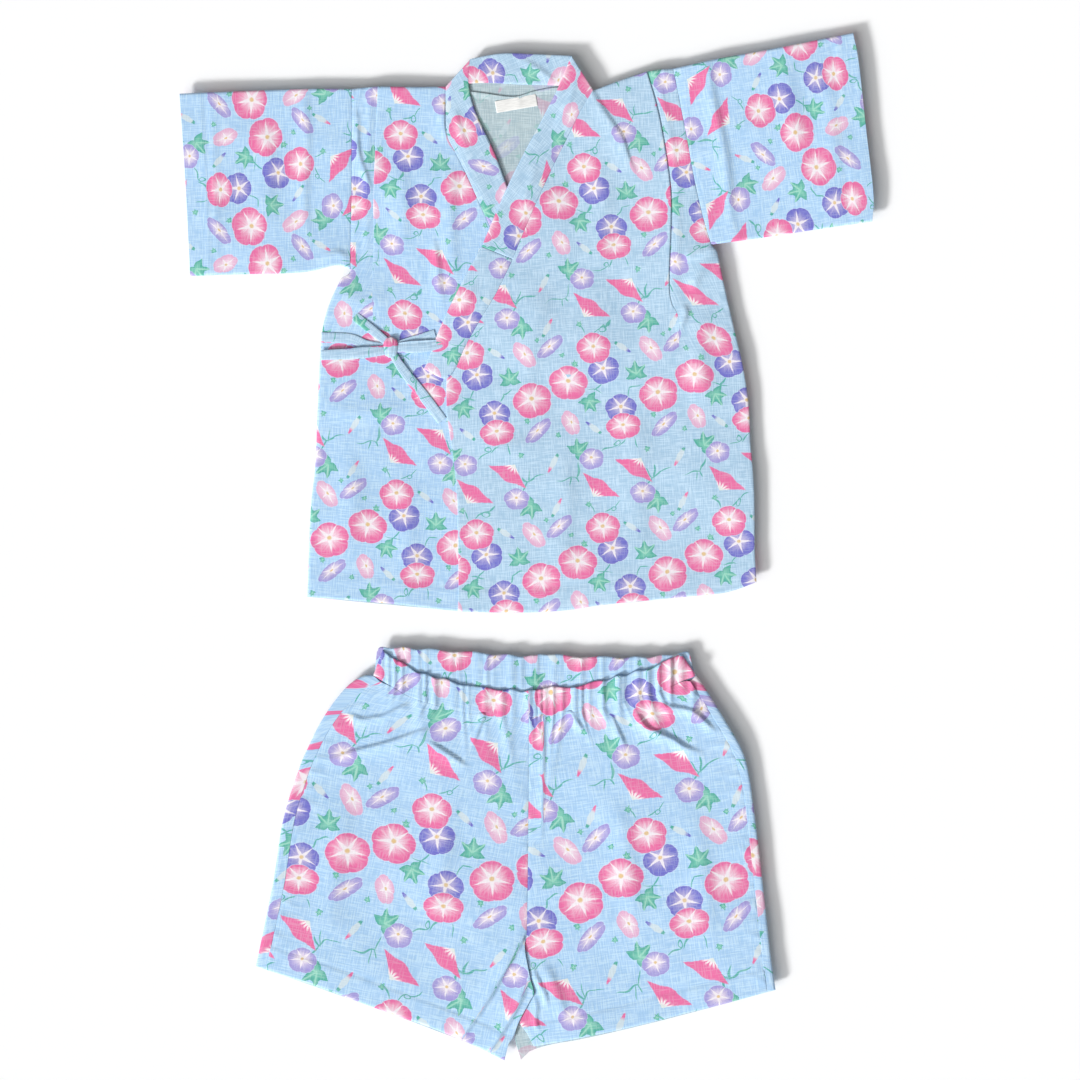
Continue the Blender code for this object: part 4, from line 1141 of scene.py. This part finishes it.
def make_knot():
    """The bow's knot: a soft lump, pinched at both sides, with the strip that wraps it."""
    bm = bmesh.new()
    bmesh.ops.create_uvsphere(bm, u_segments=64, v_segments=40, radius=1)
    for vertex in bm.verts:
        x, y, z = vertex.co
        swell = (abs(x) ** 2.6 + abs(y) ** 2.6 + abs(z) ** 2.4) ** (-1 / 2.5)
        x, y, z = x * swell, y * swell, z * swell
        pinch = 1 - 0.2 * abs(x) ** 3
        groove = 0.1 * np.exp(-(((x - 0.38 - 0.15 * y) / 0.13) ** 2))
        groove += 0.09 * np.exp(-(((x + 0.36 - 0.1 * y) / 0.12) ** 2))
        fold = 0.05 * sin(9 * y + 3 * x) * (1 - abs(z) ** 3)
        scale = pinch * (1 - groove + fold * 0.6)
        vertex.co = ((-113.8 + 6.4 * x) * MM, (167 + 0.25 * x + 8.7 * y * scale) * MM,
                     (5.4 + 2.5 * z * scale) * MM)
    layer = bm.loops.layers.uv.new("cloth")
    for face in bm.faces:
        for loop in face.loops:
            place = loop.vert.co / MM
            loop[layer].uv = ((place.x + 135.4) * MM, (place.y - 244.6) * MM)
    mesh = mesh_of("bow_knot", bm)
    mesh.shade_smooth()
    mesh.materials.append(finishes()["Jacket cotton"])
    return carried(placed("knot", mesh), "bow_knot")


def make_bow():
    make_tie("tie_from_side", "tie_side", ((-172, 175.4), (-158, 175), (-146, 173.6), (-134, 168.4),
                                           (-119, 166.6)), (8.6, 8.8, 9, 9.4, 7), (3.7, 3.8, 3.9, 4.1, 4.6),
             (0.4, 0), 20, (make_knot(),))
    make_tie("tie_from_band", "tie_band", ((-76.5, 177.4), (-92, 173), (-108.6, 168.6)), (9.6, 9, 7),
             (3.9, 4, 4.5), (0, 0), 36)
    make_tie("tie_end_up", "tie_end_upper", ((-115.6, 170.4), (-125, 178), (-134.6, 185.8), (-144, 193.4)),
             (6, 7.6, 8, 7.8), (5.2, 4.7, 4.2, 3.9), (0, 0.5), 60)
    make_tie("tie_end_down", "tie_end_lower", ((-112.6, 162.4), (-105, 150.4), (-96, 138.4), (-84, 123.4),
                                               (-70.4, 105.4)), (6.4, 8, 9, 9, 8.6),
             (5.2, 4.5, 4, 3.9, 3.8), (0, 0.5), 90)
    make_loop("loop_right", "bow_loop_right", ((-119, 164.6), (-132, 163), (-148, 161.6), (-172.4, 160.4)),
              (8, 9.8, 8.8, 8.4), 18, (Crease(0.4, 1.3, 2, 0.6, 0,
                                                              ((-120, 163), (-134, 161), (-152, 159))),))
    make_loop("loop_left", "bow_loop_left", ((-108.6, 166.6), (-98, 167.2), (-84, 168), (-70, 170.4)),
              (8, 10.6, 10, 7), 46, (Crease(-0.9, 0.8, 0.8, 0.9, 0.6,
                                                             ((-108, 169.6), (-95, 170.6), (-72, 172.4))),
                                                      Crease(-0.6, 0.7, 0.7, 0, 1,
                                                             ((-82, 168), (-76, 169), (-69, 170.6)))))


# ---------------------------------------------------------------- the shorts
def gather_table(seed=11):
    """Where each ridge of the gathered waist stands: place, width, height, length, lean and cloth."""
    rng = np.random.default_rng(seed)
    ridges, at = [], -126
    while at < 140:
        pitch = rng.uniform(3.5, 16)
        at += pitch
        long = rng.uniform() < 0.35
        ridges.append((at, pitch * rng.uniform(0.16, 0.34), rng.uniform(0.7, 1.5 + 0.13 * pitch),
                       rng.uniform(26, 44) if long else rng.uniform(10, 22), 0.0022 * (at - 4)
                       + rng.uniform(-0.3, 0.3), rng.uniform(0.5, 2.2)))
    return ridges


def gather(cloth, below, ridges, height=1):
    """Raise the gathers on a piece of the waist: below is each point's distance under the casing."""
    live = sizes().gathers * height
    extra = np.zeros_like(cloth.x)
    for at, width, tall, length, lean, more in ridges:
        along = cloth.x - at - lean * below
        fade = np.exp(-((np.maximum(below, 0) / length) ** 1.6))
        cloth.z += live * tall * fade * np.exp(-((along / (width * (1 + below.clip(0) / 60))) ** 2))
        extra += more * fade * (0.5 + 0.5 * np.tanh(along / width)) - more * 0.5 * fade
    cloth.spread_x += extra


def casing(edge, foot, height, columns, rows, fine):
    """A side of the waist's casing, between its upper edge and its foot."""
    cloth = Cloth(edge, foot, (edge[0], foot[0]), (edge[-1], foot[-1]), stations(*columns, (0.5, 1.2)),
                  stations(*rows, fine))
    cloth.z += height
    cloth.lay()
    return cloth


def scallop(cloth, height, pitch, sway, slow, depth):
    """Make the upper edge of the casing wavy."""
    wave = np.sin(cloth.x / pitch + sway * np.sin(cloth.x / slow))
    cloth.dy += height * wave * (1 - ease(cloth.from_edge("top") / depth))


def make_waist():
    cloth = casing(WAIST_BACK, WAIST_BACK_FOOT, TOP_CASING_BACK, (190, 262), (16, 40), (0.4, 1, 1.8))
    front_line = np.array(WAIST_FRONT)
    shown = ease((cloth.y - np.interp(cloth.x, front_line[:, 0], front_line[:, 1]) + 2) / 5)
    before = cloth.z.copy()
    gather(cloth, np.zeros_like(cloth.x), [(at + 3.7, width * 1.1, tall * 0.7, *rest) for at, width, tall,
                                           *rest in gather_table(29)], 0.55)
    cloth.z = before + (cloth.z - before) * shown
    cloth.roll("top", 1, 1.6)
    scallop(cloth, 0.8, 4.3, 1.3, 17, 5)
    back = sew("waist_back", "waist_casing_back", cloth, CASING_PRINT, BRIGHT_FOLDED, CASING_BACK_WALL)

    cloth = casing(WAIST_FRONT, WAIST_FRONT_FOOT, TOP_CASING, (200, 270), (14, 23), (0.3, 0.8, 1.5))
    gather(cloth, np.zeros_like(cloth.x), gather_table())
    cloth.roll("top", 1.1, 1.5)
    for side in ("left", "right"):
        cloth.roll(side, 1.6, 3)
    cloth.z -= 0.25 * (1 - ease(cloth.from_edge("bottom") / 2))
    scallop(cloth, 0.9, 3.6, 1.7, 13, 6)
    printed = np.where((cloth.x < 2)[..., None], printed_at(cloth, LEG_RIGHT_PRINT),
                       printed_at(cloth, LEG_LEFT_PRINT))
    front = sew("waist_front", "waist_casing_front", cloth, printed, BRIGHT_FOLDED, CASING_WALL)


def make_shorts_front(name, node, top, bottom, left, right, phase, seam_side, centre_side):
    cloth = Cloth(top, bottom, left, right, stations(124, 200), stations(168, 290))
    cloth.z += TOP_LEG
    cloth.lay()
    foot = np.array(WAIST_FRONT_FOOT)
    below = np.interp(cloth.x, foot[:, 0], foot[:, 1]) - cloth.y
    gather(cloth, below.clip(0), gather_table())
    cloth.z += 0.33 * np.exp(-below.clip(0) / 9)
    cloth.z -= 1.1 * ease(-below / 3.2)
    cloth.crease(SHORTS_CREASES, sizes().relief)
    if centre_side == "right":
        pleated(cloth, ((-3, -330), (-18, -356), (-33, -382), (-50.7, -408), (-60, -426)), (24, 10))
        pleated(cloth, ((2, -364), (-8, -387), (-18, -404), (-29, -421), (-34, -430)), (-30, 20))
    else:
        pleated(cloth, ((14.5, -100), (14.5, -180), (13, -250)), (-26, 0), -250, -1)
    cloth.hem("bottom", sizes().hem / MM)
    cloth.roll("bottom", 1.4)
    cloth.z -= 0.25 * np.exp(-cloth.from_edge(seam_side) / 3)
    puckers(cloth, seam_side, 12, 0.7, 9, 71)
    crotch = ease((cloth.y + 340) / 16)
    cloth.z -= 0.35 * crotch * np.exp(-cloth.from_edge(centre_side) / 3)
    lift = 0.9 if seam_side == "left" else -0.9
    cloth.z += lift * (1 - crotch) * np.exp(-cloth.from_edge(centre_side) / 12)
    puckers(cloth, centre_side, 9, 0.45, 12, 73)
    piece = sew(name, node, cloth, phase, BRIGHT)
    flat, area = cut_size(whole(top, right, bottom, left))


def make_shorts_back(name, node, top, bottom, hip, inner, wrap, phase, hip_side):
    """A back of the shorts under its front, round the hip's fold and up on to the front."""
    turn = 1 if hip_side == "left" else -1
    edges, wrap_edges = (inner, hip)[::turn], (hip, wrap)[::turn]
    rows = stations(76, 290, (0.4, 1, 1.8))
    under = Cloth(top[::-1], bottom[::-1], *edges, stations(44, 200, (0.7, 1.7, 3)), rows)
    over = Cloth([edge[0] for edge in wrap_edges], [edge[-1] for edge in wrap_edges], *wrap_edges,
                 stations(6, 9, (0.4, 1, 1.7)), rows)
    fold = over.x[:, :1] if hip_side == "left" else over.x[:, -1:]
    over.spread_x = 2 * fold - over.x
    other_side = "right" if hip_side == "left" else "left"
    middle = TOP_LEG / 2
    over.z += middle + (TOP_LEG - middle) * rounded(over.from_edge(hip_side), 2.2)
    under.z += middle - middle * rounded(under.from_edge(other_side), 2.2)
    over.roll("bottom", 0.8)
    for part in (over, under):
        part.lay()
    first, second = (under, over)[::turn]
    for field in FIELDS:
        setattr(second, field, getattr(second, field)[:, 1:])
    piece = sew(name, node, first.beside(second), phase, BRIGHT)
    flat, area = cut_size(whole(top, edges[0], bottom, edges[1]))


def centre_edge(height, inseam, side):
    """The centre seam from a height down, and the inseam, a hair to one side."""
    return moved(((2, height), (1.6, -230), (0.4, -318), *inseam[1:]), side * LEG_GAP)


def make_shorts():
    make_shorts_back("leg_back_right", "shorts_back_right", ((-128.6, -108), (-100, -116), (-50, -130),
                                                             (1.8, -134)), ((-227, -352), (-123, -388.6),
                                                                            (-43, -419), (-19, -430.4)),
                     HIP_RIGHT, centre_edge(-134, INSEAM_RIGHT, -1), HIP_WRAP_RIGHT, LEG_RIGHT_PRINT,
                     "left")
    make_shorts_back("leg_back_left", "shorts_back_left", ((2.2, -134), (60, -130), (110, -118),
                                                           (142.6, -108.4)), ((-4.8, -431), (3.4, -423),
                                                                              (3.4, -423), (20, -418.2),
                                                                              (49, -412.8), (91, -403.4),
                                                                              (136, -392), (209, -372)),
                     HIP_LEFT, centre_edge(-134, INSEAM_BACK_LEFT, 1), HIP_WRAP_LEFT, LEG_LEFT_PRINT,
                     "right")
    make_shorts_front("leg_front_right", "shorts_front_right", ((-122.2, -110.4), (-112, -115), (-92, -126),
                                                                (-50, -137), (1.9, -141)),
                      ((-218, -355.2), (-172, -370.5), (-123, -388.6), (-82, -403), (-43, -419),
                       (-18.6, -431)), moved(HIP_WRAP_RIGHT, -0.25), centre_edge(-141, INSEAM_RIGHT, -1),
                      LEG_RIGHT_PRINT, "left", "right")
    make_shorts_front("leg_front_left", "shorts_front_left", ((2.1, -141), (62, -133), (110, -119),
                                                              (130, -110.4), (136.6, -110)),
                      ((6.4, -419.6), (49, -411.5), (91, -402.5), (136, -391), (166, -383.5),
                       (201.2, -373.8)), centre_edge(-141, INSEAM_LEFT, 1), moved(HIP_WRAP_LEFT, 0.25),
                      LEG_LEFT_PRINT, "right", "left")


# ---------------------------------------------------------------- the stage
FLOOR_DROP = 0.0066         # metres from the cloth's underside down to the floor
CAMERA_HEIGHT = 3
VIEW_WIDTH = 0.907          # metres across the view at the cloth


def make_stage():
    """Floor, light and camera."""
    bm = bmesh.new()
    bmesh.ops.create_grid(bm, x_segments=1, y_segments=1, size=6)
    bmesh.ops.translate(bm, verts=bm.verts, vec=(0, 0, -FLOOR_DROP))
    mesh = mesh_of("floor", bm)
    floor = placed("floor", mesh)
    w = Weaver("Floor")
    mesh.materials.append(w.finish(w.node("BsdfDiffuse", {"Color": (0.97, 0.97, 0.97, 1)})))

    world = bpy.data.worlds.new("Room")
    bpy.context.scene.world = world
    world.use_nodes = True
    background = world.node_tree.nodes["Background"]
    background.inputs["Color"].default_value = (0.97, 0.985, 1, 1)
    background.inputs["Strength"].default_value = 0.25

    for name, energy, angle, towards in (("Window", 2.9, 10, (-0.72, -0.66, 0.56)),
                                         ("Bright wall", 1.5, 50, (-0.55, -0.55, 0.74))):
        sun = bpy.data.lights.new(name, "SUN")
        sun.energy = energy
        sun.angle = radians(angle)
        placed(name, sun).rotation_euler = Vector(towards).to_track_quat("Z", "Y").to_euler()

    lens = bpy.data.cameras.new("Camera")
    lens.sensor_width = 36
    lens.lens = 36 * CAMERA_HEIGHT / VIEW_WIDTH
    camera = placed("Camera", lens)
    camera.location = (0.01134, 0.00546, CAMERA_HEIGHT)
    bpy.context.scene.camera = camera
    bpy.context.scene.view_settings.view_transform = "Standard"
    bpy.context.scene.view_settings.look = "None"


# ---------------------------------------------------------------- operators and panel
class JINBEI_OT_jacket_back(bpy.types.Operator):
    """Make the back of the jacket"""
    bl_idname = "jinbei.jacket_back"
    bl_label = "Jacket back"

    def execute(self, context):
        make_top_back()
        make_neck_seam()
        return {"FINISHED"}


class JINBEI_OT_jacket_fronts(bpy.types.Operator):
    """Make the two fronts of the jacket, the left over the right"""
    bl_idname = "jinbei.jacket_fronts"
    bl_label = "Jacket fronts"

    def execute(self, context):
        make_top_front_right()
        make_top_front_left()
        return {"FINISHED"}


class JINBEI_OT_sleeves(bpy.types.Operator):
    """Make the two sleeves"""
    bl_idname = "jinbei.sleeves"
    bl_label = "Sleeves"

    def execute(self, context):
        make_sleeve("jacket_sleeve_right", "sleeve_right", SLEEVE_RIGHT_TOP, SLEEVE_RIGHT_FOOT,
                    SLEEVE_RIGHT_SEAM, SLEEVE_RIGHT_CUFF, SLEEVE_RIGHT_PRINT, SLEEVE_RIGHT_CREASES, 21,
                    "right")
        make_sleeve("jacket_sleeve_left", "sleeve_left", SLEEVE_LEFT_TOP, SLEEVE_LEFT_FOOT,
                    SLEEVE_LEFT_SEAM, SLEEVE_LEFT_CUFF, SLEEVE_LEFT_PRINT, SLEEVE_LEFT_CREASES, 23, "left")
        return {"FINISHED"}


class JINBEI_OT_collar(bpy.types.Operator):
    """Make the collar, its bands and the blank neck label"""
    bl_idname = "jinbei.collar"
    bl_label = "Collar"

    def execute(self, context):
        make_collar()
        make_neck_label()
        return {"FINISHED"}


class JINBEI_OT_bow(bpy.types.Operator):
    """Make the ties and their bow"""
    bl_idname = "jinbei.bow"
    bl_label = "Ties"

    def execute(self, context):
        make_bow()
        return {"FINISHED"}


class JINBEI_OT_shorts(bpy.types.Operator):
    """Make the fronts and backs of the shorts"""
    bl_idname = "jinbei.shorts"
    bl_label = "Shorts"

    def execute(self, context):
        make_shorts()
        return {"FINISHED"}


class JINBEI_OT_waist(bpy.types.Operator):
    """Make the gathered waist of the shorts"""
    bl_idname = "jinbei.waist"
    bl_label = "Waist"

    def execute(self, context):
        make_waist()
        return {"FINISHED"}


class JINBEI_OT_stage(bpy.types.Operator):
    """Make the floor, the light and the camera"""
    bl_idname = "jinbei.stage"
    bl_label = "Stage"

    def execute(self, context):
        make_stage()
        return {"FINISHED"}


OPERATORS = (JINBEI_OT_stage, JINBEI_OT_jacket_back, JINBEI_OT_jacket_fronts, JINBEI_OT_sleeves,
             JINBEI_OT_collar, JINBEI_OT_bow, JINBEI_OT_shorts, JINBEI_OT_waist)


class JINBEI_PT_panel(bpy.types.Panel):
    """The jinbei set's sizes, colours and pieces"""
    bl_idname = "JINBEI_PT_panel"
    bl_label = "Jinbei set"
    bl_space_type = "VIEW_3D"
    bl_region_type = "UI"
    bl_category = "Jinbei"

    def draw(self, context):
        for group in (context.scene.jinbei_sizes, context.scene.jinbei_colours):
            for name in group.bl_rna.properties.keys():
                if name not in ("rna_type", "name"):
                    self.layout.prop(group, name)
        for operator in OPERATORS:
            self.layout.operator(operator.bl_idname)


CLASSES = (JinbeiColours, JinbeiSizes, *OPERATORS, JINBEI_PT_panel)


def register():
    for each in CLASSES:
        bpy.utils.register_class(each)
    bpy.types.Scene.jinbei_colours = bpy.props.PointerProperty(type=JinbeiColours)
    bpy.types.Scene.jinbei_sizes = bpy.props.PointerProperty(type=JinbeiSizes)


def unregister():
    del bpy.types.Scene.jinbei_sizes
    del bpy.types.Scene.jinbei_colours
    for each in reversed(CLASSES):
        bpy.utils.unregister_class(each)


def main():
    register()
    for operator in OPERATORS:
        group, name = operator.bl_idname.split(".")
        getattr(getattr(bpy.ops, group), name)()


if __name__ == "__main__":
    main()
